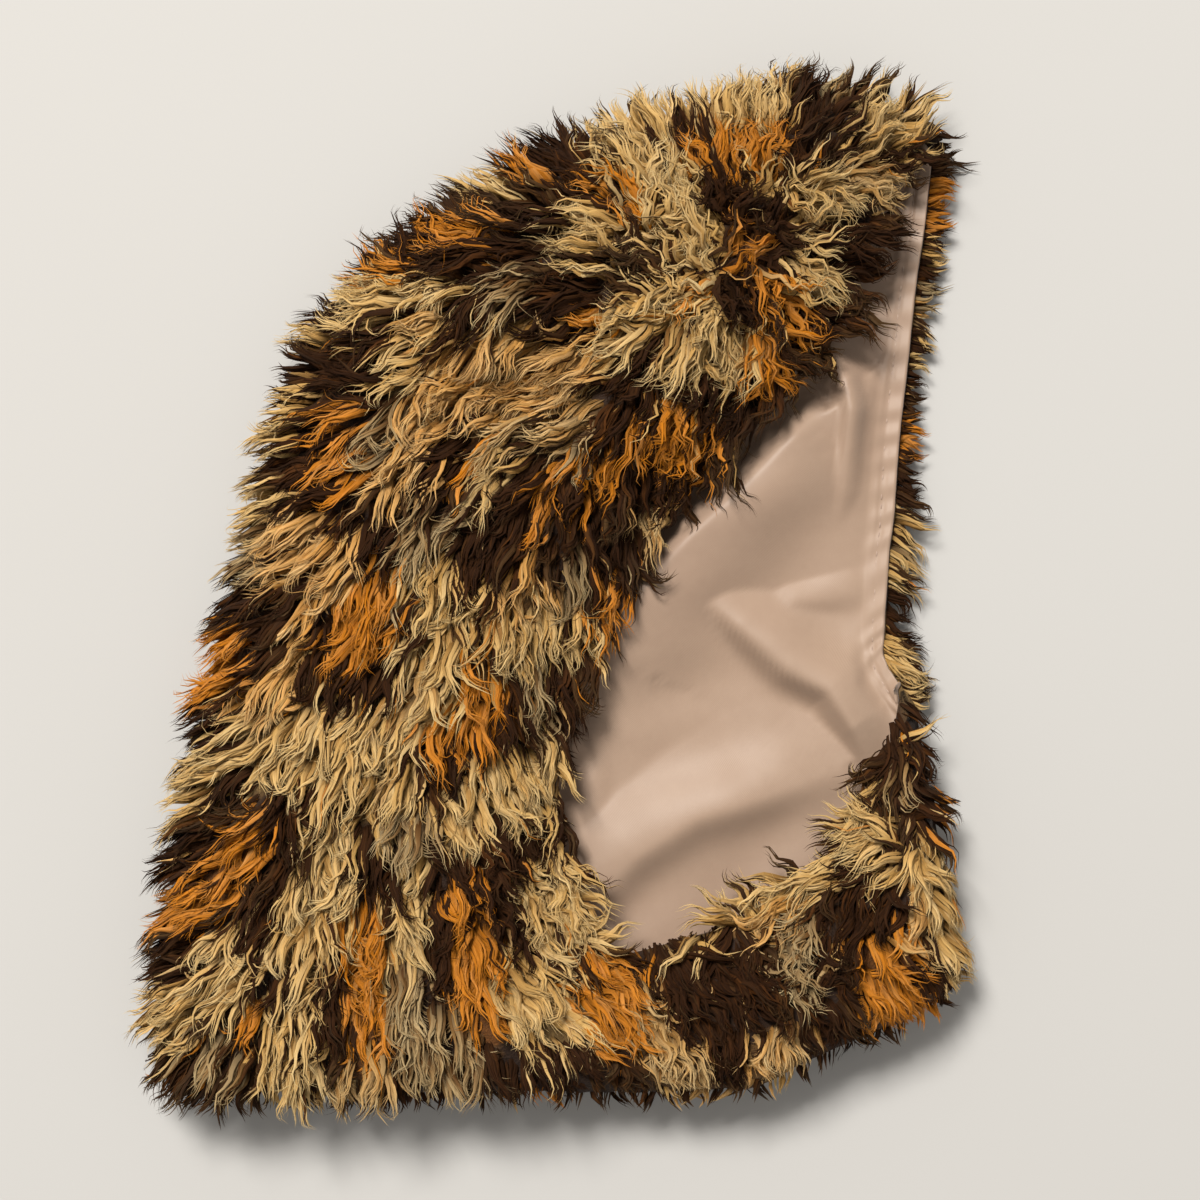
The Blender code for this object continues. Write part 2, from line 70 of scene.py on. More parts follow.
# ribs from the face opening to the outline, from the forehead over the crown and down the back to
# the hem and the chin: shares of the depth and height, and how far the neck is open
ribColumns = ("outX", "outY", "nearX", "nearY", "farX", "farY", "open")
ribRows = (
    (0.950, 0.988, 0.943, 0.969, 0.957, 0.967, 0.0),
    (0.803, 1.000, 0.896, 0.923, 0.953, 0.923, 0.0),
    (0.638, 0.977, 0.856, 0.830, 0.947, 0.877, 0.0),
    (0.473, 0.930, 0.816, 0.771, 0.939, 0.836, 0.0),
    (0.333, 0.861, 0.752, 0.720, 0.933, 0.794, 0.0),
    (0.225, 0.784, 0.670, 0.645, 0.928, 0.753, 0.0),
    (0.158, 0.687, 0.606, 0.584, 0.922, 0.710, 0.0),
    (0.111, 0.568, 0.564, 0.517, 0.916, 0.666, 0.0),
    (0.071, 0.445, 0.523, 0.450, 0.912, 0.622, 0.0),
    (0.043, 0.322, 0.492, 0.373, 0.909, 0.584, 0.0),
    (0.015, 0.178, 0.474, 0.291, 0.903, 0.546, 0.0),
    (0.000, 0.054, 0.480, 0.227, 0.900, 0.507, 0.0),
    (0.018, 0.014, 0.490, 0.193, 0.898, 0.486, 0.3),
    (0.091, 0.003, 0.498, 0.172, 0.897, 0.466, 0.9),
    (0.269, 0.000, 0.513, 0.150, 0.896, 0.452, 1.0),
    (0.460, 0.000, 0.546, 0.134, 0.896, 0.440, 1.0),
    (0.651, 0.000, 0.638, 0.151, 0.900, 0.431, 1.0),
    (0.727, 0.005, 0.695, 0.165, 0.903, 0.425, 1.0),
    (0.797, 0.032, 0.765, 0.195, 0.907, 0.420, 1.0),
    (0.841, 0.048, 0.813, 0.225, 0.911, 0.414, 0.8),
    (0.924, 0.073, 0.879, 0.296, 0.914, 0.409, 0.4),
    (0.983, 0.101, 0.917, 0.404, 0.917, 0.404, 0.0),
)

# buckles of the upper panel: from, to, width and depth, and the shape of each one's hump and dip
creaseRows = (
    (0.315, 0.765, 0.430, 0.745, 0.050, 0.9),
    (0.430, 0.745, 0.575, 0.765, 0.055, 1.0),
    (0.560, 0.620, 0.700, 0.700, 0.070, 0.4),
    (0.200, 0.500, 0.400, 0.350, 0.090, 0.25),
)
crease = {"hump": 0.45, "humpAt": 0.7, "humpRun": 0.8, "dip": 0.55, "dipAt": -0.45, "dipRun": 0.55}

# the photograph: metres to a pixel, and the pixel of the panels' own corner (back fold, hem)
photo = {"metres": 0.000345, "cornerX": 188.0, "cornerY": 1083.0}


def smoothStep(t):
    t = np.clip(t, 0.0, 1.0)
    return t * t * (3 - 2 * t)


def bell(distance, run):
    return np.exp(-((distance / run) ** 2))


def unit(vectors):
    return vectors / np.maximum(np.linalg.norm(vectors, axis=-1, keepdims=True), 1e-9)


def placeRibs():
    table = {name: np.array([row[at] for row in ribRows]) for at, name in enumerate(ribColumns)}
    for name in ribColumns[:-1]:
        table[name] = table[name] * (hood["depth"] if name.endswith("X") else hood["height"])
    steps = np.hypot(np.diff(table["outX"]), np.diff(table["outY"]))
    table["at"] = np.concatenate(([0.0], np.cumsum(steps))) / steps.sum()
    return table


rib = placeRibs()


def alongRibs(name, u):  # smooth curve through one column of the rib table
    at, value = rib["at"], rib[name]
    slope = np.gradient(value, at)
    k = np.clip(np.searchsorted(at, u, side="right") - 1, 0, len(at) - 2)
    span = at[k + 1] - at[k]
    t = (u - at[k]) / span
    start = (1 + 2 * t) * (1 - t) ** 2 * value[k] + t * (1 - t) ** 2 * span * slope[k]
    end = t * t * (3 - 2 * t) * value[k + 1] + t * t * (t - 1) * span * slope[k + 1]
    return start + end


def foldCurve(distance, run):  # 0 on a folded edge and 1 past its run
    t = np.clip(distance / run, 0.0, 1.0)
    return (1 - (1 - t) ** hood["foldPower"]) ** (1 / hood["foldPower"])


def ribPlan(edge, u, v):
    x0, y0 = alongRibs(edge + "X", u), alongRibs(edge + "Y", u)
    x1, y1 = alongRibs("outX", u), alongRibs("outY", u)
    return x0 + (x1 - x0) * v, y0 + (y1 - y0) * v, np.hypot(x1 - x0, y1 - y0)


def endFolds(edge, x, y, run):  # 0 on the forehead seam and the chin fold
    total = np.ones_like(x)
    for end in (0, -1):
        ax, ay = rib[edge + "X"][end], rib[edge + "Y"][end]
        bx, by = rib["outX"][end] - ax, rib["outY"][end] - ay
        along = (((x - ax) * bx + (y - ay) * by) / (bx * bx + by * by)).clip(0, 1)
        total = total * foldCurve(np.hypot(x - ax - along * bx, y - ay - along * by), run)
    return total


def buckles(x, y):
    total = np.zeros_like(x)
    for x0, y0, x1, y1, width, depth in creaseRows:
        ax, ay = x0 * hood["depth"], y0 * hood["height"]
        bx, by = x1 * hood["depth"], y1 * hood["height"]
        run, half = math.hypot(bx - ax, by - ay), width * hood["height"]
        along = ((x - ax) * (bx - ax) + (y - ay) * (by - ay)) / run**2
        above = ((y - ay) * (bx - ax) - (x - ax) * (by - ay)) / run
        past = np.maximum(0, np.abs(along - 0.5) - 0.5) * run
        hump = crease["hump"] * bell(above - crease["humpAt"] * half, crease["humpRun"] * half)
        dip = crease["dip"] * bell(above - crease["dipAt"] * half, crease["dipRun"] * half)
        total += hood["creaseDepth"] * depth * bell(past, half) * (hump - dip)
    return total


def nearSheet(u, v):  # cloth of the upper panel
    x, y, length = ribPlan("near", u, v)
    isOpen = alongRibs("open", u).clip(0, 1)
    base = layers + hood["edgeLift"]
    hem = isOpen * hood["hemLift"] / (base + hood["loft"])
    rim = hem + (1 - hem) * foldCurve((1 - v) * length, hood["nearRun"])
    height = base + hood["loft"] * smoothStep(v * length / hood["faceRun"]) + buckles(x, y)
    return np.stack([x, y, seam + height * rim * endFolds("near", x, y, hood["nearRun"])], axis=-1)


def farSheet(u, v):  # cloth of the panel on the floor
    x, y, length = ribPlan("far", u, v)
    isOpen = alongRibs("open", u).clip(0, 1)
    rise = seam - hood["underPile"]
    flat = isOpen * (1 - hood["farHemLift"] / rise)
    wall = flat + (1 - flat) * foldCurve((1 - v) * length, hood["farRun"])
    wall = wall * endFolds("far", x, y, hood["farRun"])
    curl = hood["edgeCurl"] * np.exp(-v * length / hood["curlRun"]) * wall
    return np.stack([x, y, hood["underPile"] + rise * (1 - wall) + curl], axis=-1)


def normalsOf(sheet, u, v, step=0.002):
    u0, u1 = np.clip(u - step, 0, 1), np.clip(u + step, 0, 1)
    v0, v1 = np.clip(v - step, 0, 1), np.clip(v + step, 0, 1)
    return unit(np.cross(sheet(u, v1) - sheet(u, v0), sheet(u1, v) - sheet(u0, v)))


def levelSideOf(edge, u, step=0.004):
    # level, square to an edge: out of the panel at the face opening, into it at the outline
    u0, u1 = np.clip(u - step, 0, 1), np.clip(u + step, 0, 1)
    dx = alongRibs(edge + "X", u1) - alongRibs(edge + "X", u0)
    dy = alongRibs(edge + "Y", u1) - alongRibs(edge + "Y", u0)
    return np.stack([-dy, dx, 0 * dx], axis=-1) / np.hypot(dx, dy)[..., None]


def toPixels(points):
    return (photo["cornerX"] + points[..., 0] / photo["metres"],
            photo["cornerY"] - points[..., 1] / photo["metres"])


def fromPixels(px, py):
    return (px - photo["cornerX"]) * photo["metres"], (photo["cornerY"] - py) * photo["metres"]


driftWaves = {"count": 7, "slowest": 0.6, "range": 6.0, "spread": 1.87}


def drift(x, y, size, seed):  # smooth chance, about -1.5 to 1.5, with bumps of one size
    chance = np.random.default_rng(seed)
    total = np.zeros_like(x)
    for _ in range(driftWaves["count"]):
        turn, phase, stretch = chance.uniform(0, 2 * math.pi, 3)
        scale = 2 * math.pi / size * (driftWaves["slowest"] + stretch / driftWaves["range"])
        total += np.sin((x * math.cos(turn) + y * math.sin(turn)) * scale + phase)
    return total / driftWaves["spread"]


# the leopard pattern, drawn as boxes: left, right, top and bottom of each patch in pixels
chart = {
    "dark": (
        # among the dark boxes, (442, 489, 310, 372), (445, 489, 313, 374) and (564, 614, 336, 354)
        # are painted shadow under the overhang of the crown's buckle, not print
        (382, 438, 203, 230), (393, 480, 234, 283), (342, 393, 259, 277), (297, 344, 288, 308),
        (300, 353, 308, 328), (320, 398, 335, 410), (264, 300, 346, 408), (442, 489, 310, 372),
        (485, 596, 122, 149), (540, 583, 167, 203), (663, 708, 116, 154), (697, 796, 167, 239),
        (708, 764, 239, 339), (648, 674, 185, 252), (636, 681, 227, 261), (518, 563, 216, 245),
        (449, 514, 234, 283), (511, 583, 306, 350), (564, 614, 336, 354), (601, 674, 348, 410),
        (790, 819, 79, 179), (834, 863, 98, 152), (884, 918, 131, 175), (815, 903, 211, 282),
        (771, 819, 232, 299), (819, 845, 299, 347), (935, 947, 144, 168), (934, 945, 221, 300),
        (914, 926, 324, 420), (908, 927, 448, 503),
        (273, 286, 380, 398), (309, 324, 393, 447), (362, 378, 393, 454), (286, 322, 431, 487),
        (277, 396, 487, 534), (431, 465, 436, 496), (204, 273, 567, 621), (255, 286, 603, 670),
        (326, 349, 612, 657), (407, 431, 603, 648), (371, 409, 536, 581), (181, 242, 710, 730),
        (295, 398, 670, 715),
        (445, 489, 313, 374), (507, 601, 313, 349), (601, 668, 345, 407), (605, 657, 407, 461),
        (668, 750, 389, 438), (641, 701, 465, 510), (585, 648, 537, 590), (431, 465, 425, 492),
        (512, 534, 447, 514), (565, 592, 470, 557), (474, 538, 519, 579), (460, 525, 537, 612),
        (592, 614, 568, 612),
        (560, 590, 672, 752), (380, 409, 653, 710), (453, 480, 672, 725), (514, 543, 680, 758),
        (409, 495, 745, 790), (491, 587, 827, 871),
        (178, 237, 705, 746), (217, 252, 766, 807), (273, 319, 777, 817), (156, 214, 822, 904),
        (283, 314, 802, 879), (252, 293, 894, 937), (161, 207, 924, 976), (263, 298, 955, 1001),
        (293, 324, 1016, 1078), (339, 354, 917, 1032), (395, 416, 843, 930), (367, 400, 838, 889),
        (436, 462, 843, 930), (400, 480, 1078, 1100),
        (441, 584, 831, 882), (517, 543, 877, 984), (436, 464, 877, 974), (579, 619, 943, 999),
        (512, 599, 1045, 1086), (668, 770, 943, 1061),
        (897, 906, 639, 670), (919, 937, 626, 657), (901, 942, 591, 642), (875, 937, 714, 795),
        (916, 947, 782, 839), (834, 862, 839, 895), (822, 916, 882, 936), (919, 950, 942, 995),
        (819, 850, 901, 995), (700, 766, 936, 1014), (706, 747, 1011, 1070), (803, 847, 989, 1051),
    ),
    "orange": (
        (360, 393, 236, 250), (436, 502, 221, 261), (398, 427, 250, 279), (429, 458, 239, 274),
        (331, 393, 254, 274), (326, 353, 395, 410), (507, 545, 156, 187), (596, 650, 185, 230),
        (565, 603, 312, 341), (685, 790, 138, 176), (723, 775, 239, 283), (759, 830, 290, 337),
        (737, 790, 357, 395), (677, 708, 297, 328), (945, 968, 173, 221), (913, 946, 420, 456),
        (324, 362, 400, 465), (313, 375, 465, 505), (349, 407, 576, 672), (186, 250, 628, 710),
        (634, 717, 416, 492), (657, 717, 425, 470), (465, 487, 438, 501), (532, 567, 470, 550),
        (601, 632, 583, 624), (588, 620, 461, 530),
        (380, 401, 586, 653), (606, 629, 595, 647), (472, 514, 672, 752), (426, 485, 729, 775),
        (207, 283, 802, 917), (153, 214, 879, 917), (258, 268, 976, 1027), (354, 400, 889, 1057),
        (459, 517, 879, 1030), (586, 655, 953, 1038), (525, 568, 1076, 1099),
        (941, 962, 789, 839), (847, 944, 929, 1026),
    ),
    "cream": (
        (453, 502, 154, 203), (583, 685, 100, 149), (697, 790, 78, 127), (636, 714, 149, 294),
        (563, 607, 212, 292), (342, 442, 281, 328), (293, 375, 323, 346), (371, 442, 319, 410),
        (623, 674, 288, 323), (625, 719, 323, 361), (670, 741, 332, 410), (786, 863, 179, 309),
        (861, 935, 89, 167), (744, 796, 169, 221), (275, 311, 384, 407), (246, 309, 418, 445),
        (224, 277, 487, 541), (405, 478, 639, 692), (398, 480, 688, 730), (309, 344, 692, 715),
        (590, 668, 322, 389), (471, 507, 300, 342), (668, 712, 351, 403), (712, 750, 345, 412),
        (485, 512, 461, 514), (422, 460, 552, 588), (409, 487, 580, 643), (495, 564, 591, 676),
        (571, 610, 634, 668), (449, 581, 760, 844), (171, 245, 746, 820), (242, 436, 700, 807),
        (207, 288, 935, 1006), (145, 214, 981, 1044), (135, 163, 942, 986), (288, 372, 822, 1019),
        (273, 334, 1006, 1093), (393, 436, 817, 968), (400, 438, 806, 964), (528, 617, 864, 959),
        (522, 584, 943, 1061), (663, 783, 877, 943), (673, 706, 943, 974), (762, 800, 1050, 1081),
        (894, 931, 620, 723), (837, 894, 795, 889), (794, 837, 839, 895), (912, 981, 839, 1011),
        (942, 965, 236, 270), (923, 938, 324, 401), (905, 938, 501, 560), (904, 927, 560, 595),
    ),
    "gold": (
        (440, 596, 355, 410), (264, 371, 523, 603), (382, 478, 389, 505), (284, 331, 603, 715),
        (242, 309, 688, 730), (400, 440, 300, 389), (422, 507, 362, 385), (507, 592, 358, 389),
        (485, 601, 389, 425), (400, 467, 389, 443), (400, 436, 443, 501), (496, 561, 583, 650),
        (420, 463, 554, 585), (737, 800, 1022, 1081), (700, 803, 892, 936), (900, 928, 886, 951),
        (923, 931, 286, 322),
    ),
    "tan": (
        (843, 910, 161, 213), (646, 675, 501, 557), (543, 608, 398, 456), (476, 525, 425, 470),
        (498, 538, 345, 360), (409, 460, 649, 714), (380, 418, 710, 739), (380, 399, 767, 800),
        (334, 400, 1057, 1093), (642, 719, 992, 1094), (741, 803, 1017, 1082),
    ),
    "grey": (
        (473, 552, 283, 346), (727, 761, 309, 347), (226, 273, 469, 492), (208, 291, 541, 576),
        (375, 398, 402, 505), (391, 465, 523, 581), (407, 480, 585, 637), (565, 601, 456, 494),
        (422, 474, 510, 537), (565, 590, 557, 635), (411, 467, 588, 630), (393, 447, 800, 880),
        (525, 564, 687, 745), (395, 446, 965, 1032), (166, 273, 1032, 1078), (400, 507, 1010, 1086),
        (894, 919, 767, 807), (775, 825, 901, 989), (936, 952, 270, 328), (921, 938, 552, 579),
        (822, 872, 79, 110),
    ),
}
# share of dark, of orange and of grey, and how light, for the colours of the chart
coatColours = {
    "dark": (1.00, 0.00, 0.06, 0.10), "orange": (0.00, 1.00, 0.00, 0.35),
    "cream": (0.00, 0.00, 0.05, 0.95), "gold": (0.00, 0.30, 0.00, 0.55),
    "tan": (0.05, 0.08, 0.30, 0.55), "grey": (0.10, 0.00, 0.85, 0.45),
}
plainCoat = (0.95, 0.02, 0.08, 0.25)
patchReach = {"dark": 1.20, "orange": 1.16, "cream": 1.15, "gold": 1.13, "tan": 1.06, "grey": 0.98}

# where the tips point: pixel, and degrees from the right, anticlockwise
napRows = (
    (690, 110, 105), (590, 140, 125), (820, 90, 75), (960, 108, 10), (540, 135, 135),
    (448, 183, 132),
    (410, 215, 135), (362, 264, 138), (320, 298, 150), (334, 335, 178), (282, 377, 215),
    (560, 255, 200), (512, 315, 255), (683, 376, 250), (825, 245, -20), (880, 200, -25),
    (955, 200, 0), (945, 400, -30), (930, 600, -50), (940, 800, -72), (970, 950, -75),
    (760, 960, -45), (880, 970, -50), (820, 960, -75), (650, 1050, -55), (750, 900, 180),
    (860, 840, 200), (750, 1060, -80), (500, 1070, 270), (300, 1060, 270), (717, 480, -45),
    (675, 555, -55), (625, 650, -75), (590, 760, -85), (580, 870, -55), (224, 487, 215),
    (230, 600, 235), (178, 720, 210), (156, 850, 215), (135, 960, 212), (145, 1040, 243),
    (380, 450, 225), (330, 640, 255), (300, 650, 255), (440, 680, 250), (400, 500, 262),
    (350, 850, 265), (540, 640, 270), (560, 700, 290), (520, 800, -65), (590, 850, -55),
    (480, 950, 270), (560, 920, 300), (550, 1000, 310), (480, 1060, 275), (560, 380, 200),
    (640, 340, 205), (430, 350, 225), (410, 430, 235), (700, 380, 250), (690, 450, 240),
    (660, 500, 260), (610, 500, 265), (560, 430, 215),
    (600, 170, 150), (655, 195, 125), (690, 240, 120), (745, 205, 95), (770, 140, 80),
    (860, 130, 40), (905, 110, 20), (800, 170, 60), (720, 130, 95), (640, 130, 110),
    (650, 280, 165), (700, 330, 250), (770, 290, 320), (600, 215, 165), (820, 200, 20),
    (640, 315, 215), (600, 280, 190),
)
# curly places: pixel and radius in pixels
curlRows = (
    (735, 250, 80), (640, 240, 60), (860, 160, 45), (700, 385, 50), (690, 450, 40), (800, 320, 45),
    (440, 255, 45), (520, 850, 60), (600, 470, 40), (800, 950, 45), (760, 100, 50),
)


napBlend = {"near": 500.0, "power": 1.4, "step": 9.0, "partsFrom": 0.010, "partsRun": 0.022}
patchShape = {"steep": 0.35, "thinnest": 0.85, "wander": 0.10, "wanderSize": 26.0, "least": -0.02}
coatShares = ("dark", "orange", "grey", "light")


def napAt(px, py):  # level direction in which the tips point
    total = np.zeros(px.shape + (2,))
    for x, y, angle in napRows:
        away = (px - x) ** 2 + (py - y) ** 2
        weight = 1 / (away + napBlend["near"]) ** napBlend["power"]
        turn = math.radians(angle)
        total += weight[..., None] * np.array([math.cos(turn), math.sin(turn)])
    return np.concatenate([unit(total), np.zeros(px.shape + (1,))], axis=-1)


def partingAt(px, py):  # 1 where the pile round a place leans away from it
    step = napBlend["step"]
    right, left = napAt(px + step, py), napAt(px - step, py)
    above, under = napAt(px, py - step), napAt(px, py + step)
    spread = (right[..., 0] - left[..., 0] + above[..., 1] - under[..., 1]) / (2 * step)
    return smoothStep((spread - napBlend["partsFrom"]) / napBlend["partsRun"])


def curlAt(px, py):
    total = np.zeros_like(px)
    for x, y, radius in curlRows:
        total = np.maximum(total, np.exp(-((px - x) ** 2 + (py - y) ** 2) / radius**2))
    return total


def patchesOf(rows):
    # ellipses that fill the chart's boxes and lie along the nap: middle, turn, half sizes
    table = np.array(rows, float)
    x, y = (table[:, 0] + table[:, 1]) / 2, (table[:, 2] + table[:, 3]) / 2
    a, b = ((table[:, 1] - table[:, 0]) / 2) ** 2, ((table[:, 3] - table[:, 2]) / 2) ** 2
    nap = napAt(x, y)
    turn = np.arctan2(nap[:, 1], nap[:, 0])
    double = np.cos(2 * turn)
    steep = np.abs(double) > patchShape["steep"]
    most = patchShape["thinnest"] * (a + b)
    gap = np.where(steep, (a - b) / np.where(steep, double, 1), 0.5 * (a + b))
    gap = np.clip(gap, -most, most)
    return zip(x, y, turn, np.sqrt((a + b + gap) / 2), np.sqrt((a + b - gap) / 2))


def coatAt(px, py, seed):  # the chart's colour at each place: dark, orange, grey, light
    names, scores = list(chart), []
    for at, name in enumerate(names):
        best = np.full(px.shape, -1.0)
        for x, y, turn, along, over in patchesOf(chart[name]):
            dx, dy = px - x, y - py
            forward = (dx * math.cos(turn) + dy * math.sin(turn)) / along
            across = (dy * math.cos(turn) - dx * math.sin(turn)) / over
            best = np.maximum(best, patchReach[name] - np.hypot(forward, across))
        wander = drift(px, py, patchShape["wanderSize"], seed + at)
        scores.append(best + patchShape["wander"] * wander)
    scores = np.array(scores)
    colours = np.array([coatColours[name] for name in names])[scores.argmax(axis=0)]
    inPatch = scores.max(axis=0) > patchShape["least"]
    return np.where(inPatch[..., None], colours, np.array(plainCoat))


rootGrid = {"columns": 260, "rows": 70, "least": 1e-10, "step": (0.7548776662, 0.5698402910)}


def rootPlaces(sheet, count, low, high):
    # evenly spread places on a sheet between two shares of its ribs
    columns = rootGrid["columns"]
    u, v = np.linspace(0, 1, columns + 1), np.linspace(low, high, rootGrid["rows"] + 1)
    grid = sheet(*np.meshgrid(u, v, indexing="ij"))
    onward, outward = grid[1:, :-1] - grid[:-1, :-1], grid[:-1, 1:] - grid[:-1, :-1]
    area = np.linalg.norm(np.cross(onward, outward), axis=-1) + rootGrid["least"]
    byColumn = np.concatenate(([0.0], np.cumsum(area.sum(axis=1)))) / area.sum()
    number = np.arange(count)
    first, second = ((0.5 + number * step) % 1 for step in rootGrid["step"])
    uPick = np.interp(first, byColumn, u)
    column = np.clip((uPick * columns).astype(int), 0, columns - 1)
    vPick = np.empty(count)
    for each in range(columns):
        mine = column == each
        byRow = np.concatenate(([0.0], np.cumsum(area[each]))) / area[each].sum()
        vPick[mine] = np.interp(second[mine], byRow, v)
    return uPick, vPick


def scatter(chance, lock, perLock, perHair):  # chance that a lock shares, and each strand's own
    shared = chance.normal(0, perLock, lock.max() + 1)[lock]
    return shared + chance.normal(0, perHair, len(lock))


def rootsOn(sheet, u, v):  # places on a sheet, the way out of it, and the nap there
    roots = sheet(u, v)
    return roots, normalsOf(sheet, u, v, 0.006), napAt(*toPixels(roots))


# how locks and strands vary in every coat, with lengths as shares and angles in radians: pairs
# named At are a drift's size in metres and its seed, the others a lock's spread and a strand's
vary = {
    "longest": 1.05, "shorter": 0.38, "shortPower": 1.5,
    "phaseAt": (0.040, 5), "phaseDrift": 2.4, "phase": (0.9, 0.12), "heading": (0.12, 0.06),
    "bendAt": (0.022, 6), "tiltAt": (0.018, 7), "lockShare": 0.5, "hair": 0.06,
    "strayBend": 0.9, "strayLift": 0.25, "strayWidth": 0.35,
    "curlSwing": 1.5, "swingLock": (0.4, 1.4), "swingHair": (0.92, 1.08),
    "curlWave": 0.30, "waveLock": (0.85, 1.2), "rootSwing": 0.35, "bobLag": 0.8, "bendFrom": 0.3,
    "hookFrom": 0.6, "hookPower": 1.5, "liftPower": 1.6, "gatherFrom": 0.05,
    "domeLayer": 0.6, "chanceLayer": 0.7, "rollAcross": 0.95,
    "width": (0.5, 1.3), "rootWidth": 0.60, "fullAt": 1.35, "taper": 2.3, "floorGap": 0.0010,
    # the tone entries: the first is random tone; the others paint a lock paler in its middle and on
    # top as painted light, and darker at its edges as painted shade
    "toneAndPaintedLight": (0.45, 0.22), "paintedLightBase": 0.5, "paintedShadeAcross": 1.5, "paintedLightOnTop": 1.6,
}


def combHair(roots, ups, leans, lengths, curls, coat, lifts=0.0):
    # locks of strands: root, outward direction and lean of each lock give the strands' points
    chance = np.random.default_rng(coat["seed"])
    locks, steps = len(roots), coat["steps"]
    lock = np.repeat(np.arange(locks), coat["hairs"])
    count = len(lock)
    s = np.linspace(0, 1, steps + 1)
    mid = ((s[1:] + s[:-1]) / 2)[None, :]
    up, lean = ups[lock], leans[lock]
    side = unit(np.cross(up, lean))
    back = unit(np.cross(side, up))
    radius = coat["lockRadius"] * np.sqrt(chance.uniform(0, 1, count))
    turn = chance.uniform(0, 2 * math.pi, count)
    offset = (side * np.cos(turn)[:, None] + back * np.sin(turn)[:, None]) * radius[:, None]
    fromMiddle = np.cos(turn) * radius / coat["lockRadius"]
    shorter = vary["shorter"] * chance.uniform(0, 1, count) ** vary["shortPower"]
    length = lengths[lock] * (vary["longest"] - shorter)
    stray = chance.uniform(0, 1, count) < coat["strays"]
    x, y = roots[:, 0], roots[:, 1]

    # how each strand turns sideways and up along its length
    phase = vary["phaseDrift"] * drift(x, y, *vary["phaseAt"])[lock]
    phase = phase + scatter(chance, lock, *vary["phase"])
    bend = coat["bend"] * drift(x, y, *vary["bendAt"])[lock]
    bend = bend + scatter(chance, lock, vary["lockShare"] * coat["bend"], vary["hair"])
    bend = bend + np.where(stray, chance.normal(0, vary["strayBend"], count), 0)
    tilt = coat["tilt"] * drift(x, y, *vary["tiltAt"])[lock]
    tilt = tilt + scatter(chance, lock, vary["lockShare"] * coat["tilt"], vary["hair"])
    swing = coat["wave"] * (1 + vary["curlSwing"] * curls)
    swing = (swing * chance.uniform(*vary["swingLock"], locks))[lock]
    swing = (swing * chance.uniform(*vary["swingHair"], count))[:, None]
    waveLength = coat["waveLength"] * (1 - vary["curlWave"] * curls)
    waveLength = (waveLength * chance.uniform(*vary["waveLock"], locks))[lock]
    cycle = 2 * math.pi * mid * (length / waveLength)[:, None] + phase[:, None]
    growth = vary["rootSwing"] + (1 - vary["rootSwing"]) * mid
    heading = bend[:, None] * (mid - vary["bendFrom"]) * 2 + swing * growth * np.cos(cycle)
    heading = heading + scatter(chance, lock, *vary["heading"])[:, None]
    hook = chance.normal(0, coat["hook"], locks)[lock]
    hooked = np.clip((mid - vary["hookFrom"]) / (1 - vary["hookFrom"]), 0, 1) ** vary["hookPower"]
    heading = heading + hook[:, None] * hooked
    lifted = (coat["lift"] + lifts + np.zeros(locks))[lock] + tilt
    pitch = lifted[:, None] * (1 - mid) ** vary["liftPower"] + coat["tipPitch"] * mid
    pitch = pitch + coat["bob"] * swing * growth * np.sin(cycle + vary["bobLag"])
    pitch = pitch + np.where(stray, vary["strayLift"], 0)[:, None] * mid

    # points along each strand, gathered towards the tip of its lock
    level = lean[:, None] * np.cos(heading)[..., None] + side[:, None] * np.sin(heading)[..., None]
    run = level * np.cos(pitch)[..., None] + up[:, None] * np.sin(pitch)[..., None]
    run = run - np.array([0, 0, 1.0]) * (coat["sag"] * mid**2)[..., None]
    run = unit(run) * (length / steps)[:, None, None]
    gather = smoothStep((s - vary["gatherFrom"]) / (1 - vary["gatherFrom"]))
    gather = 1 - (1 - coat["gather"]) * gather
    layer = vary["domeLayer"] * (0.5 - fromMiddle**2)
    layer = (layer + vary["chanceLayer"] * chance.uniform(-0.5, 0.5, count)) * coat["layer"]
    points = np.concatenate([np.zeros((count, 1, 3)), np.cumsum(run, axis=1)], axis=1)
    points = points + roots[lock][:, None] + offset[:, None] * gather[None, :, None]
    points = points + up[:, None] * (layer[:, None] * s[None, :])[..., None]

    # ribbon across each strand, and its painted light and shade in the lock
    forward = unit(np.gradient(points, axis=1))
    roll = vary["rollAcross"] * fromMiddle + chance.normal(0, coat["roll"], count)
    roll = roll[:, None, None]
    facing = up[:, None] * np.cos(roll) + side[:, None] * np.sin(roll)
    across = unit(np.cross(forward, np.broadcast_to(facing, forward.shape)))
    full = np.sin(math.pi * np.clip(vary["fullAt"] * s, 0, 1))
    profile = vary["rootWidth"] + (1 - vary["rootWidth"]) * full
    profile = profile * (1 - s ** vary["taper"])
    width = np.where(stray, vary["strayWidth"], chance.uniform(*vary["width"], count))
    half = coat["width"] * width[:, None] * profile[None, :] / 2
    least = coat["floor"] + vary["floorGap"] * chance.uniform(0, 1, count)[:, None]
    points[..., 2] = np.maximum(points[..., 2], least + np.abs(across[..., 2]) * half)
    # tone is random per lock and strand, plus painted light in the middle and on top of a lock and
    # painted shade at its edges
    toneAndPaintedLight = scatter(chance, lock, *vary["toneAndPaintedLight"])
    toneAndPaintedLight = toneAndPaintedLight + vary["paintedLightBase"] - vary["paintedShadeAcross"] * fromMiddle**2
    toneAndPaintedLight = toneAndPaintedLight + vary["paintedLightOnTop"] * layer / coat["layer"]
    return {"points": points, "across": across, "half": half, "lock": lock, "toneAndPaintedLight": toneAndPaintedLight,
            "number": chance.uniform(0, 1, count), "chance": chance,
            "along": np.broadcast_to(s, points.shape[:2])}


dye = {"seed": 60, "reach": 0.72, "jitter": (6.0, 2.5), "odd": 0.02,
       "vary": (0.02, 0.05, 0.08, 0.10)}


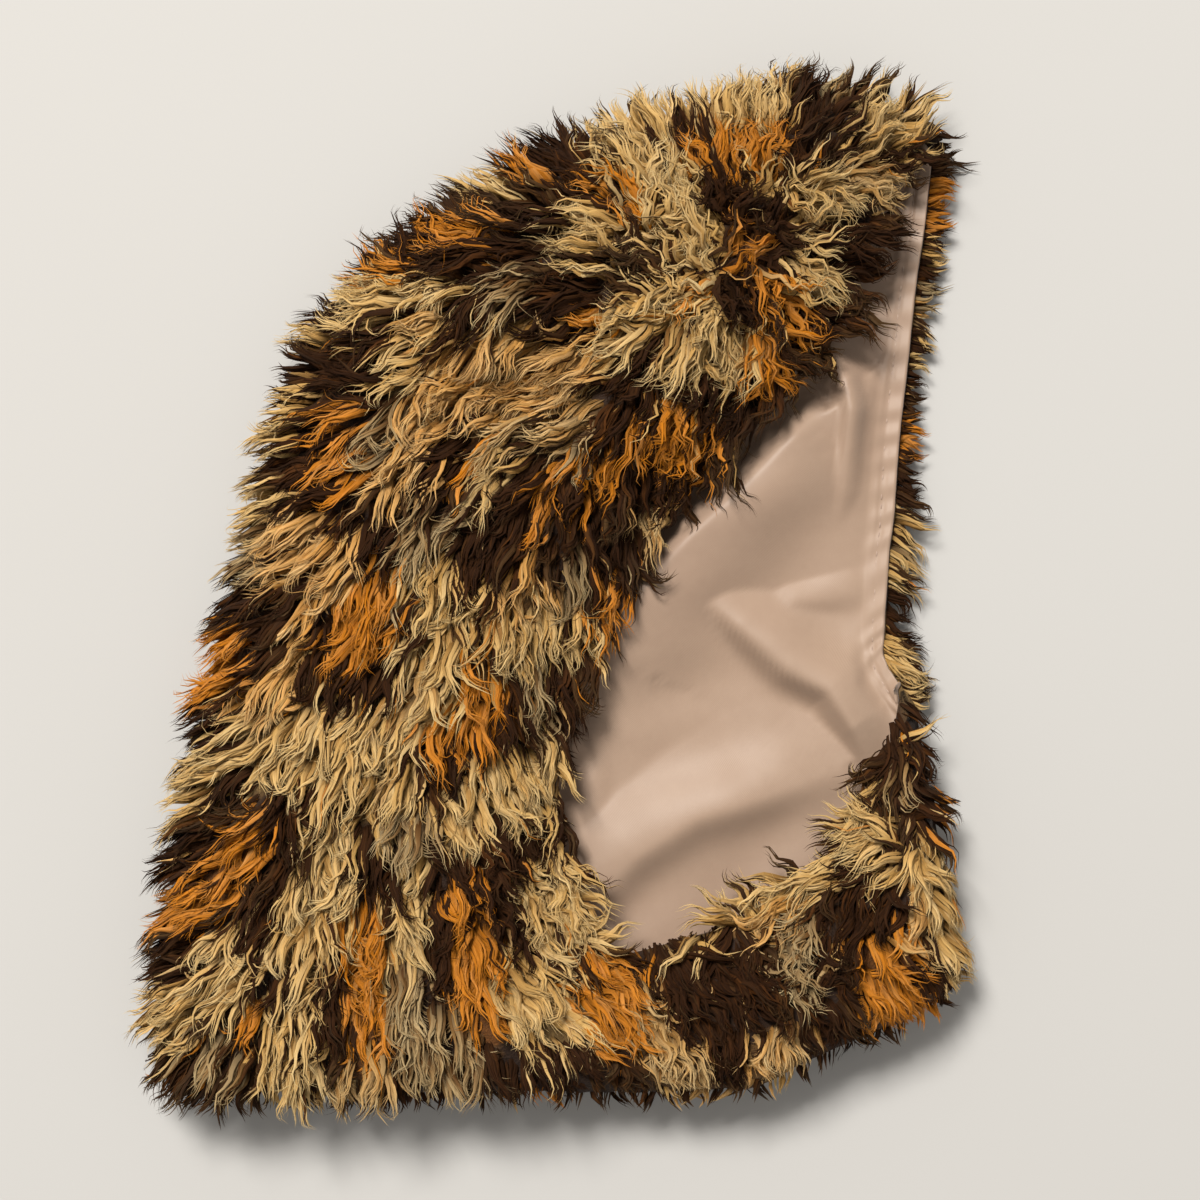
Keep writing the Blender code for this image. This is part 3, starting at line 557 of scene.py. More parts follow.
def colourHair(hair):  # each strand takes the chart's colour where its outer part lies
    chance, lock = hair["chance"], hair["lock"]
    at = int(round(dye["reach"] * (hair["points"].shape[1] - 1)))
    px, py = toPixels(hair["points"][:, at])
    px = px + scatter(chance, lock, *dye["jitter"])
    py = py + scatter(chance, lock, *dye["jitter"])
    coat = coatAt(px, py, dye["seed"])
    coat = coat + chance.normal(0, 1, (len(lock), 4)) * np.array(dye["vary"])
    odd = chance.uniform(0, 1, len(lock)) < dye["odd"]  # a few strands of another colour
    coat[odd] = coat[chance.permutation(len(lock))[odd]]
    hair["coat"] = np.clip(coat, 0, 1)
    return hair


def addMesh(name, vertices, loopVertices, loopStarts, material, attributes, uvs=None):
    mesh = bpy.data.meshes.new(name)
    mesh.vertices.add(len(vertices))
    mesh.vertices.foreach_set("co", (vertices + shift).astype(np.float32).ravel())
    mesh.loops.add(len(loopVertices))
    mesh.loops.foreach_set("vertex_index", loopVertices.astype(np.int32))
    mesh.polygons.add(len(loopStarts))
    mesh.polygons.foreach_set("loop_start", loopStarts.astype(np.int32))
    mesh.polygons.foreach_set("use_smooth", np.ones(len(loopStarts), bool))
    for label, values in attributes.items():
        attribute = mesh.attributes.new(label, "FLOAT", "POINT")
        attribute.data.foreach_set("value", values.astype(np.float32).ravel())
    if uvs is not None:
        layer = mesh.uv_layers.new(name="OFBake")
        layer.data.foreach_set("uv", uvs[loopVertices].astype(np.float32).ravel())
    mesh.update()
    mesh.validate()
    mesh.materials.append(material)
    piece = bpy.data.objects.new(name, mesh)
    bpy.context.scene.collection.objects.link(piece)
    return piece


def hairMesh(name, hair, keep=slice(None)):  # ribbons from the combed strands, or some of them
    points, across, half = hair["points"][keep], hair["across"][keep], hair["half"][keep]
    count, rows = points.shape[:2]
    pairs = rows - 1
    spread = across[:, :-1] * half[:, :-1, None]
    both = np.stack([points[:, :-1] - spread, points[:, :-1] + spread], axis=2)
    vertices = np.concatenate([both.reshape(count, 2 * pairs, 3), points[:, -1:]], axis=1)
    each = 2 * pairs + 1
    pattern = [at for k in range(pairs - 1) for at in (2 * k, 2 * k + 1, 2 * k + 3, 2 * k + 2)]
    pattern = np.array(pattern + [2 * pairs - 2, 2 * pairs - 1, 2 * pairs])
    loops = (np.arange(count) * each)[:, None] + pattern[None, :]
    starts = (np.arange(count) * len(pattern))[:, None] + 4 * np.arange(pairs)[None, :]
    along = hair["along"][keep]
    along = np.concatenate([np.repeat(along[:, :-1], 2, axis=1), along[:, -1:]], axis=1)
    number = np.arange(count)
    cells = math.ceil(math.sqrt(count))  # one small cell of the map for each strand
    sideways = np.concatenate([np.tile([0.2, 0.8], pairs), [0.5]])[None, :]
    uvs = np.stack([(number % cells)[:, None] + sideways + 0 * along,
                    (number // cells)[:, None] + 0.1 + 0.8 * along], axis=-1) / cells
    attributes = {"along": along, "across": sideways * 1.667 - 0.333 + 0 * along}
    for label in ("toneAndPaintedLight", "number"):
        attributes[label] = np.repeat(hair[label][keep][:, None], each, axis=1)
    for at, label in enumerate(coatShares):
        attributes[label] = np.repeat(hair["coat"][keep][:, at][:, None], each, axis=1)
    return addMesh(name, vertices.reshape(-1, 3), loops.ravel(), starts.ravel(), hairFinish,
                   attributes, uvs.reshape(-1, 2))


class Wire:  # one socket of a material, with the sums that this file uses
    def __init__(self, finish, socket):
        self.finish, self.socket = finish, socket

    def sum(self, operation, first, second):
        return self.finish.node("ShaderNodeMath", {"operation": operation}, {0: first, 1: second})

    def __add__(self, other):
        return self.sum("ADD", self, other)

    def __radd__(self, other):
        return self.sum("ADD", other, self)

    def __sub__(self, other):
        return self.sum("SUBTRACT", self, other)

    def __rsub__(self, other):
        return self.sum("SUBTRACT", other, self)

    def __mul__(self, other):
        return self.sum("MULTIPLY", self, other)

    def __rmul__(self, other):
        return self.sum("MULTIPLY", other, self)

    def __pow__(self, other):
        return self.sum("POWER", self, other)

    def limited(self):
        return self.finish.node("ShaderNodeClamp", {}, {"Value": self})


class Finish:  # one material; fixed values are the same all over it
    def __init__(self, name, **fixed):
        self.material = bpy.data.materials.new(name)
        self.material.use_nodes = True
        self.tree = self.material.node_tree
        self.shader = self.tree.nodes["Principled BSDF"]
        for label, value in fixed.items():
            self.shader.inputs[label.replace("_", " ")].default_value = value

    def plug(self, value, socket):
        if isinstance(value, Wire):
            self.tree.links.new(value.socket, socket)
        else:
            socket.default_value = value

    def paint(self, label, value):
        self.plug(value, self.shader.inputs[label])

    def node(self, kind, settings, sockets, output=0):
        made = self.tree.nodes.new(kind)
        for label, value in settings.items():
            setattr(made, label, value)
        for label, value in sockets.items():
            self.plug(value, made.inputs[label])
        return Wire(self, made.outputs[output])

    def attribute(self, label):
        return self.node("ShaderNodeAttribute", {"attribute_name": label}, {}, "Fac")

    def place(self):
        return self.node("ShaderNodeTexCoord", {}, {}, "Object")

    def noise(self, scale, detail=2.0, place=None):
        sockets = {"Vector": place or self.place(), "Scale": scale, "Detail": detail}
        return self.node("ShaderNodeTexNoise", {}, sockets, "Fac")

    def mix(self, first, second, share):
        sockets = {0: share, 6: first, 7: second}
        return self.node("ShaderNodeMix", {"data_type": "RGBA"}, sockets, 2)

    def bump(self, height, distance, strength):
        sockets = {"Height": height, "Distance": distance, "Strength": strength}
        return self.node("ShaderNodeBump", {}, sockets)


# straw, cream, orange, grey and dark are the print; pale is the paler tip colour and also the
# painted light of lit strands; shade, deep and root are painted shade and shadow
furLook = {
    "straw": (0.95, 0.435, 0.088, 1), "cream": (1.0, 0.63, 0.195, 1),
    "orange": (0.82, 0.27, 0.012, 1), "grey": (0.50, 0.32, 0.130, 1),
    "dark": (0.0070, 0.0030, 0.0019, 1), "root": (0.028, 0.0105, 0.0030, 1),
    "pale": (1.0, 0.82, 0.47, 1), "shade": (0.16, 0.052, 0.008, 1), "deep": (0.56, 0.22, 0.030, 1),
    "paleTip": 0.60, "paintedWarmShade": 0.48, "darkGrey": 1.3, "paintedLightShare": 0.16, "paintedShadeShare": 0.32,
    "rootPower": 2.6, "rootShade": 0.97, "roughness": 0.50, "darkRoughness": 0.25, "gloss": 0.12,
    "streaks": 9.0, "streakShade": 0.46, "streakRun": 1.8, "strandSeed": 90, "contrast": 2.6,
    "bumpDepth": 0.0008, "bumpStrength": 0.75, "ridge": 0.55, "groove": 0.5,
}
peltLook = {"rootShade": 0.78, "paintedShadeMottle": 0.2, "mottleScale": 900.0, "nubScale": 1400.0,
            "nubDepth": 0.0015, "nubStrength": 0.8, "roughness": 0.9}


def coatColour(finish):  # straw to cream, and the orange of the blotches
    colour = finish.mix(furLook["straw"], furLook["cream"], finish.attribute("light"))
    return finish.mix(colour, furLook["orange"], finish.attribute("orange"))


def backingFinish(name):
    finish = Finish(name, Metallic=0.0, Roughness=peltLook["roughness"])
    dark = (finish.attribute("dark") + finish.attribute("grey")).limited()
    colour = finish.mix(coatColour(finish), furLook["dark"], dark)
    # painted shade: the backing is painted mostly the dark root colour, as the shade it lies in
    # between the locks
    paintedShadeMottle = peltLook["rootShade"] + peltLook["paintedShadeMottle"] * finish.noise(peltLook["mottleScale"])
    finish.paint("Base Color", finish.mix(colour, furLook["root"], paintedShadeMottle))
    nubs = finish.noise(peltLook["nubScale"], 3.0)
    finish.paint("Normal", finish.bump(nubs, peltLook["nubDepth"], peltLook["nubStrength"]))
    return finish.material


def pileFinish(name):
    finish = Finish(name, Metallic=0.0, Specular_IOR_Level=furLook["gloss"])
    dark, grey, orange, along, toneAndPaintedLight, across, number = (finish.attribute(label) for label in (
        "dark", "grey", "orange", "along", "toneAndPaintedLight", "across", "number"))
    plain = 1 - orange
    colour = finish.mix(coatColour(finish), furLook["grey"], grey)
    tips = along * along * along * furLook["paleTip"] * plain
    colour = finish.mix(colour, furLook["pale"], tips)
    # painted shade: the lower part of light strands is painted a warm deep colour, as the warm
    # shade between the locks
    deep = ((1 - along) * furLook["paintedWarmShade"] * plain).limited()
    colour = finish.mix(colour, furLook["deep"], deep)
    darkened = (dark + grey * (0.9 - along) * furLook["darkGrey"]).limited()
    colour = finish.mix(colour, furLook["dark"], darkened)

    # fine fibres along each ribbon: streaks of fibre tone, painted darker with the shade colour and
    # more so towards the root, as painted shade between the fibres
    fibre = finish.node("ShaderNodeCombineXYZ", {}, {
        "X": across * furLook["streaks"], "Y": along * furLook["streakRun"],
        "Z": number * furLook["strandSeed"]})
    streak = ((finish.noise(1.0, 2.0, fibre) - 0.5) * furLook["contrast"] + 0.5).limited()
    paintedFibreShade = streak * furLook["streakShade"] * (1 - 0.45 * along)
    colour = finish.mix(colour, furLook["shade"], paintedFibreShade)
    edge = across * 2 - 1
    height = (1 - edge * edge) * furLook["ridge"] - streak * furLook["groove"]
    finish.paint("Normal", finish.bump(height, furLook["bumpDepth"], furLook["bumpStrength"]))

    # painted light and shade: strands in the middle and on top of a lock are painted paler, as if
    # lit, its edges darker as painted shade, and its roots dark as painted shadow
    lit = (toneAndPaintedLight * furLook["paintedLightShare"] * (1 - dark) * (1 - 0.75 * orange)).limited()
    colour = finish.mix(colour, furLook["pale"], lit)
    colour = finish.mix(colour, furLook["shade"], (0 - toneAndPaintedLight * furLook["paintedShadeShare"]).limited())
    # painted shadow: each strand is painted dark towards its root, where the pile is in shadow
    paintedRootShade = ((1 - along) ** furLook["rootPower"] * furLook["rootShade"]).limited()
    finish.paint("Base Color", finish.mix(colour, furLook["root"], paintedRootShade))
    finish.paint("Roughness", (furLook["roughness"] + furLook["darkRoughness"] * dark).limited())
    return finish.material


satinLook = {
    "deep": (0.290, 0.190, 0.136, 1), "bright": (0.40, 0.282, 0.204, 1),
    "thread": (0.55, 0.42, 0.34, 1), "softScale": 14.0, "slubScale": 260.0,
    "roughness": 0.42, "roughVary": 0.12, "roughScale": 40.0,
    "weaveScale": 900.0, "weaveTwist": 1.5, "grainScale": 1500.0, "bumpDepth": 0.0002,
    "bumpStrength": 0.18, "sheen": 0.25, "sheenRoughness": 0.35, "gloss": 0.36,
}


def satinFinish(name):
    finish = Finish(name, Metallic=0.0, Specular_IOR_Level=satinLook["gloss"],
                    Sheen_Weight=satinLook["sheen"], Sheen_Roughness=satinLook["sheenRoughness"])
    soft, slub = finish.noise(satinLook["softScale"], 3.0), finish.noise(satinLook["slubScale"])
    share = (0.35 + 0.7 * soft + 0.25 * slub - 0.2).limited()
    finish.paint("Base Color", finish.mix(satinLook["deep"], satinLook["bright"], share))
    worn = satinLook["roughVary"] * finish.noise(satinLook["roughScale"])
    finish.paint("Roughness", (satinLook["roughness"] + worn).limited())
    weave = finish.node(
        "ShaderNodeTexWave", {"wave_type": "BANDS", "bands_direction": "DIAGONAL"},
        {"Vector": finish.place(), "Scale": satinLook["weaveScale"],
         "Distortion": satinLook["weaveTwist"], "Detail": 1.0}, "Fac")
    height = 0.6 * weave + 0.6 * finish.noise(satinLook["grainScale"])
    finish.paint("Normal", finish.bump(height, satinLook["bumpDepth"], satinLook["bumpStrength"]))
    return finish.material


print("finishes")
hairFinish = pileFinish("leopardPile")
peltFinish = backingFinish("leopardBacking")
satin = satinFinish("satinLining")

# moves this file's corner of the panels to the CAD model's place, found from the far lining's box
ownLining = farSheet(*np.meshgrid(np.linspace(0, 1, 120), np.linspace(0, 1, 40), indexing="ij"))
low, high = (np.array(corner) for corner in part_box("far_lining"))
ownLow, ownHigh = ownLining.reshape(-1, 3).min(axis=0), ownLining.reshape(-1, 3).max(axis=0)
shift = (low + high) / 2 - (ownLow + ownHigh) / 2
shift[2] = 0.0
print("shift", shift)


def sheetMesh(name, outer, inner, material, attributes=None):
    # closed sheet between two grids of the same size
    columns, rows = outer.shape[:2]
    number = np.arange(columns * rows).reshape(columns, rows)
    a, b = number[:-1, :-1].ravel(), number[1:, :-1].ravel()
    c, d = number[1:, 1:].ravel(), number[:-1, 1:].ravel()
    total = columns * rows
    faces = [np.stack([a, d, c, b], axis=1), np.stack([a, b, c, d], axis=1) + total]
    rim = np.concatenate([number[:, 0], number[-1, 1:], number[-2::-1, -1], number[0, -2:0:-1]])
    after = np.roll(rim, -1)
    faces.append(np.stack([rim, after, after + total, rim + total], axis=1))
    faces = np.concatenate(faces)
    vertices = np.concatenate([outer.reshape(-1, 3), inner.reshape(-1, 3)])
    doubled = {label: np.tile(values.ravel(), 2) for label, values in (attributes or {}).items()}
    return addMesh(name, vertices, faces.ravel(), 4 * np.arange(len(faces)), material, doubled)


def nearLimit(points):  # the upper panel stays over the seam
    points[..., 2] = np.maximum(points[..., 2], seam + hood["gap"] / 2)
    return points


def farLimit(points):  # the lower panel stays between the floor and the seam
    points[..., 2] = np.clip(points[..., 2], pelt["floor"], seam - hood["gap"] / 2)
    return points


# cloth of both panels, with the short pile that shows between the locks
pelt = {
    "columns": 160, "rows": 40, "nearUnderfur": 0.0022, "farUnderfur": 0.0030, "edge": 0.04,
    "fuzz": 0.25, "fuzzAt": (0.006, 31), "seed": 40, "floor": 0.0002,
}


def peltColours(points):
    coat = coatAt(*toPixels(points), pelt["seed"])
    return {label: coat[..., at] for at, label in enumerate(coatShares)}


u, v = (np.linspace(0, 1, pelt[way]) for way in ("columns", "rows"))
u, v = np.meshgrid(u, v, indexing="ij")
edgeFade = np.minimum(1, np.minimum(v, 1 - v) / pelt["edge"])
cloth, up = nearSheet(u, v), normalsOf(nearSheet, u, v)
fuzz = 1 + pelt["fuzz"] * drift(cloth[..., 0], cloth[..., 1], *pelt["fuzzAt"])
tall = pelt["nearUnderfur"] * fuzz * edgeFade
nearPelt = sheetMesh("nearPelt", nearLimit(cloth + up * tall[..., None]),
                     nearLimit(cloth - up * hood["backing"]), peltFinish, peltColours(cloth))
cloth, up = farSheet(u, v), normalsOf(farSheet, u, v)
farPelt = sheetMesh("farPelt", farLimit(cloth + up * hood["backing"]),
                    farLimit(cloth - up * pelt["farUnderfur"] * edgeFade[..., None]), peltFinish,
                    peltColours(cloth))
print("panels")

# pile of the upper panel
nearCoat = {
    "locks": 3250, "hairs": 10, "steps": 9, "seed": 101, "length": 0.0225, "lockRadius": 0.0027,
    "hook": 0.70, "lift": 1.00, "tipPitch": 0.02, "tilt": 0.24, "sag": 0.10,
    "wave": 0.46, "waveLength": 0.0125, "bob": 0.45, "bend": 0.34, "gather": 0.08,
    "layer": 0.0020, "width": 0.00165, "roll": 0.25, "strays": 0.04, "floor": 0.0006,
}
# more locks where the pile parts, along the face's edge and at the chin's corner: shares of the
# ribs, and how much those locks spread and lie down
thicken = {
    "more": 190, "moreU": 0.003, "moreV": 0.012,
    "edge": 110, "edgeU": (0.60, 0.99), "edgeV": (0.0, 0.035), "edgeParting": 0.55,
    "corner": 50, "cornerU": (0.94, 1.0), "cornerV": (0.0, 0.14), "cornerParting": 0.32,
}
# how the nap strays, leans out over the outline, and how the length of the locks changes
nearNap = {
    "loose": 0.13, "curlLoose": 0.25, "parting": 1.3, "out": 0.90, "outFrom": 0.70, "flatten": 0.35,
    "shorter": 0.12, "drift": 0.16, "driftAt": (0.020, 8),
    "longerAt": 0.22, "longerRun": 0.08, "longer": 0.20, "foldLength": 0.55, "foldRun": 0.02,
    "least": 0.0030, "overhang": 0.0235, "hemOverhang": 0.0245, "chinFrom": 0.75, "chinRun": 0.06,
}


def leanOver(nap, up, share=0.6):  # nap laid along the cloth, never into it
    into = (nap * up).sum(axis=-1, keepdims=True)
    return unit(nap - up * np.where(into < 0, into, share * into))


def hemShare(u):  # 1 along the hem and the chin, where the pile ends at the cloth's edge
    chin = smoothStep((u - nearNap["chinFrom"]) / nearNap["chinRun"])
    return np.maximum(alongRibs("open", u).clip(0, 1), chin)


def foldLengths(edge, roots, share):  # locks are shorter on the folds at both ends
    ends = endFolds(edge, roots[:, 0], roots[:, 1], nearNap["foldRun"])
    return share + (1 - share) * ends


def overhangLimit(u, v, nap, lengths, most):
    # tips reach no further past the outline than the photo's
    beyond = (nap * -levelSideOf("out", u)).sum(axis=-1)
    inside = (1 - v) * ribPlan("near", u, v)[2]
    allowed = inside / np.maximum(beyond, 0.2) + most
    return np.where(beyond > 0.2, np.clip(lengths, nearNap["least"], allowed), lengths)


u, v = rootPlaces(nearSheet, nearCoat["locks"], 0.0, 1.0)
parted = partingAt(*toPixels(nearSheet(u, v)))
sparse = np.argsort(-parted)[: thicken["more"]]
extra = np.random.default_rng(23)
edgeU, cornerU, edgeV, cornerV = (
    extra.uniform(*thicken[place + way], thicken[place])
    for way in ("U", "V") for place in ("edge", "corner"))
sides = np.array([[1], [-1]])
sparseU = (u[sparse] + thicken["moreU"] * sides).clip(0, 1).ravel()
sparseV = (v[sparse] + thicken["moreV"] * sides).clip(0, 1).ravel()
u, v = np.concatenate([u, sparseU, edgeU, cornerU]), np.concatenate([v, sparseV, edgeV, cornerV])
roots, ups, nap = rootsOn(nearSheet, u, v)
px, py = toPixels(roots)
parting, curls = partingAt(px, py), curlAt(px, py)
parting[-len(edgeU) - len(cornerU):] = thicken["edgeParting"]
parting[-len(cornerU):] = thicken["cornerParting"]
loose = np.random.default_rng(17).normal(0, 1, nap.shape) * np.array([1, 1, 0])
isOpen = hemShare(u)
toOutline = smoothStep((v - nearNap["outFrom"]) / (1 - nearNap["outFrom"])) * (1 - isOpen)
nap = unit(nap + (nearNap["loose"] + nearNap["curlLoose"] * curls)[:, None] * loose
           + nearNap["parting"] * parting[:, None] * loose
           - nearNap["out"] * toOutline[:, None] * levelSideOf("out", u))
outward = np.maximum(0, (nap * ups).sum(axis=-1))
drifted = drift(roots[:, 0], roots[:, 1], *nearNap["driftAt"])
lengths = nearCoat["length"] * (1 - nearNap["shorter"] * outward) * (1 + nearNap["drift"] * drifted)
behind = bell(u - nearNap["longerAt"], nearNap["longerRun"])
lengths = lengths * (1 + nearNap["longer"] * behind)  # longest behind the crown
lengths = lengths * foldLengths("near", roots, nearNap["foldLength"])
overhang = nearNap["overhang"] - nearNap["hemOverhang"] * isOpen
lengths = overhangLimit(u, v, nap, lengths, overhang)
nearHair = colourHair(combHair(roots, ups, leanOver(nap, ups), lengths, curls, nearCoat,
                               -nearNap["flatten"] * parting))
hairU = u[nearHair["lock"]]
nearFur = []
for name, start, end in (("furForehead", 0.0, 0.17), ("furCrown", 0.17, 0.33),
                         ("furBack", 0.33, 0.50), ("furNape", 0.50, 0.70), ("furHem", 0.70, 1.01)):
    keep = (hairU >= start) & (hairU < end)
    nearFur.append(hairMesh(name, nearHair, keep))
    print(name, int(keep.sum()), "strands")

# short soft pile between the locks
downCoat = dict(nearCoat, locks=1500, hairs=6, steps=3, seed=131, length=0.0095, lockRadius=0.0034,
                lift=0.95, wave=0.15, gather=0.5, width=0.0017, hook=0.2, loose=0.5)
u, v = rootPlaces(nearSheet, downCoat["locks"], 0.0, 1.0)
roots, ups, nap = rootsOn(nearSheet, u, v)
loose = np.random.default_rng(19).normal(0, 1, nap.shape) * np.array([1, 1, 0])
nap = unit(nap + downCoat["loose"] * loose)
downFur = hairMesh("furDown", colourHair(combHair(
    roots, ups, leanOver(nap, ups), np.full(len(u), downCoat["length"]), 0 * u, downCoat)))

# pile that shows round the lower panel
rimCoat = dict(nearCoat, locks=560, hairs=8, steps=7, seed=211, length=0.0195, lift=0.35,
               tipPitch=-0.05, sag=0.25, layer=0.0030, width=0.0016, hemShorter=0.78)
upward = np.array([0, 0, 1.0])
u, v = rootPlaces(farSheet, rimCoat["locks"], 0.86, 1.0)
roots, inward, nap = rootsOn(farSheet, u, v)
out = -levelSideOf("out", u)
rimFur = hairMesh("furLowerRim", colourHair(combHair(
    roots, unit(out * 0.6 - inward + 0.5 * upward), unit(out + nap),
    rimCoat["length"] * (1 - rimCoat["hemShorter"] * hemShare(u)), 0 * u, rimCoat)))

fringeCoat = dict(rimCoat, locks=240, hairs=10, steps=8, seed=223, length=0.0148, lift=0.55,
                  tipPitch=-0.10, sag=0.30, lockRadius=0.0022, waveLength=0.0095, wave=0.40,
                  width=0.0013, foldLength=0.6, shortAt=430, shortRun=120, shortest=0.72, rest=0.45)
u = np.linspace(0.004, 0.996, fringeCoat["locks"])
chance = np.random.default_rng(7)
v = chance.uniform(0.0, 0.02, len(u))
over = levelSideOf("far", u)
roots, _, nap = rootsOn(farSheet, u, v)
roots = roots - upward * chance.uniform(0.0002, 0.0035, len(u))[:, None]
lower = smoothStep((toPixels(roots)[1] - fringeCoat["shortAt"]) / fringeCoat["shortRun"])
lengths = fringeCoat["length"] * foldLengths("far", roots, fringeCoat["foldLength"])
lengths = lengths * (fringeCoat["shortest"] + fringeCoat["rest"] * lower)
fringeFur = hairMesh("furLowerFringe", colourHair(combHair(
    roots, unit(over * 0.4 + upward), unit(over + nap),
    lengths * chance.uniform(0.65, 1.2, len(u)), 0 * u, fringeCoat)))

underCoat = dict(rimCoat, locks=420, hairs=6, steps=4, seed=227, length=0.0200, lift=0.10,
                 tipPitch=0.0, sag=0.0, lockRadius=0.0045, layer=0.0010, height=0.0010)
u, v = rootPlaces(farSheet, underCoat["locks"], 0.03, 0.88)
roots, _, nap = rootsOn(farSheet, u, v)
roots[:, 2] = underCoat["height"]
underFur = hairMesh("furUnderside", colourHair(combHair(
    roots, np.broadcast_to(-upward, roots.shape), nap, np.full(len(u), underCoat["length"]),
    0 * u, underCoat)))
print("pile of the lower panel")

# satin linings; sizes along the cloth from the edge of the face opening
liningLook = {
    "columns": 240, "rows": 118, "nearColumns": 80, "nearRows": 30, "finerEdge": 1.15,
    "casing": 0.0085, "casingLift": 0.0007, "casingRun": 0.002, "stitchGroove": 0.0006,
    "grooveAt": 0.0052, "grooveRun": 0.0007, "pucker": 0.0003, "puckerEvery": 0.0095,
    "puckerAt": 0.003, "puckerRun": 0.006, "puckerDrift": 1.2, "foldFrom": 0.004, "foldRun": 0.012,
    "ripple": 0.0004, "driftAt": (0.035, 91), "puckerDriftAt": (0.05, 92),
    "nearDriftAt": (0.03, 93), "rippleFade": 0.1,
    "foldPoints": 300, "rounding": 60, "seamFrom": 0.9,
}
# folds in the far lining: pixels and height in mm along each, width on its left and right in mm
foldRows = (
    (((588, 745, 3.0), (600, 656, 8.0), (629, 610, 12.0), (688, 546, 14.0), (748, 488, 14.5),
      (799, 439, 13.0), (825, 416, 8.0)), 7.0, 26.0),
    (((838, 352, 4.0), (850, 378, 10.0), (856, 410, 11.0), (852, 450, 9.5), (848, 490, 6.5),
      (840, 530, 2.0)), 7.5, 5.0),
    (((700, 586, 6.0), (745, 625, 10.0), (793, 668, 11.5), (835, 688, 11.0), (860, 725, 9.5),
      (882, 764, 4.0)), 15.0, 5.6),
    (((585, 915, 4.0), (640, 855, 8.0), (700, 815, 8.5), (770, 795, 7.0), (845, 768, 3.0)),
     17.0, 9.0),
    (((640, 640, 3.0), (652, 672, 6.0), (668, 712, 1.0)), 3.5, 4.5),
    (((760, 700, 0.0), (800, 760, 2.5), (845, 800, 0.5)), 8.0, 9.0),
    (((735, 565, 1.0), (800, 600, 3.5), (875, 590, 1.0)), 9.0, 6.0),
    (((620, 700, 0.5), (600, 780, 4.0), (592, 850, 1.0)), 8.0, 8.0),
)


def runAlong(line):  # length along a line of points, from its start
    steps = np.linalg.norm(np.diff(line, axis=0), axis=-1)
    return np.concatenate(([0.0], np.cumsum(steps)))


def foldsAt(x, y):
    total = np.zeros_like(x)
    for stops, left, right in foldRows:
        stops = np.array(stops)
        run = runAlong(stops[:, :2])
        t = np.linspace(0, run[-1], liningLook["foldPoints"])
        fx, fy = fromPixels(np.interp(t, run, stops[:, 0]), np.interp(t, run, stops[:, 1]))
        for _ in range(liningLook["rounding"]):  # round the corners of the line
            fx[1:-1] = (fx[:-2] + fx[1:-1] + fx[2:]) / 3
            fy[1:-1] = (fy[:-2] + fy[1:-1] + fy[2:]) / 3
        tall = np.interp(t, run, stops[:, 2]) / 1000
        dx, dy = np.gradient(fx), np.gradient(fy)
        away = np.hypot(x[..., None] - fx, y[..., None] - fy)
        near = away.argmin(axis=-1)
        isLeft = dx[near] * (y - fy[near]) - dy[near] * (x - fx[near]) > 0
        half = np.where(isLeft, left, right) / 1000
        total = np.maximum(total, tall[near] * bell(away.min(axis=-1), half))
    return total


u, v = np.meshgrid(np.linspace(0.008, 0.992, liningLook["columns"]),
                   np.linspace(0, 1, liningLook["rows"]) ** liningLook["finerEdge"], indexing="ij")
cloth, up = farSheet(u, v), normalsOf(farSheet, u, v)
x, y = cloth[..., 0], cloth[..., 1]
length = ribPlan("far", u, v)[2]
fromEdge = v * length
quiet = foldCurve((1 - v) * length, hood["farRun"]) * endFolds("far", x, y, hood["farRun"])
inside = smoothStep((fromEdge - liningLook["foldFrom"]) / liningLook["foldRun"])
raised = foldsAt(x, y) + liningLook["ripple"] * drift(x, y, *liningLook["driftAt"])
raised = raised * quiet * inside
run = runAlong(cloth[:, 0])
beat = 2 * math.pi * run / liningLook["puckerEvery"]
beat = beat + liningLook["puckerDrift"] * drift(run, 0 * run, *liningLook["puckerDriftAt"])
pucker = liningLook["pucker"] * np.sin(beat)[:, None] * quiet
pucker = pucker * bell(fromEdge - liningLook["puckerAt"], liningLook["puckerRun"])
casingEnd = liningLook["casing"] - liningLook["casingRun"] / 2
casing = 1 - smoothStep((fromEdge - casingEnd) / liningLook["casingRun"])
casing = liningLook["casingLift"] * casing
groove = bell(fromEdge - liningLook["grooveAt"], liningLook["grooveRun"])
groove = liningLook["stitchGroove"] * groove
over = hood["backing"] + hood["gap"]
below = cloth + up * over
above = cloth + up * (over + hood["lining"] + casing - groove)[..., None]
top = np.where(v > liningLook["seamFrom"], seam - hood["gap"] / 2, 1.0)  # under the seam there
for face in (below, above):
    face[..., 2] = np.minimum(face[..., 2] + raised + pucker, top)
farLining = sheetMesh("farLining", above, below, satin)

u, v = np.meshgrid(np.linspace(0.008, 0.992, liningLook["nearColumns"]),
                   np.linspace(0, 1, liningLook["nearRows"]), indexing="ij")
cloth, up = nearSheet(u, v), normalsOf(nearSheet, u, v)
ripple = np.maximum(drift(cloth[..., 0], cloth[..., 1], *liningLook["nearDriftAt"]), 0)
for distance in (v, 1 - v):
    ripple = ripple * smoothStep(distance / liningLook["rippleFade"])
under = over + liningLook["ripple"] * ripple
nearLining = sheetMesh("nearLining", nearLimit(cloth - up * under[..., None]),
                       nearLimit(cloth - up * (under + hood["lining"])[..., None]), satin)
print("linings")

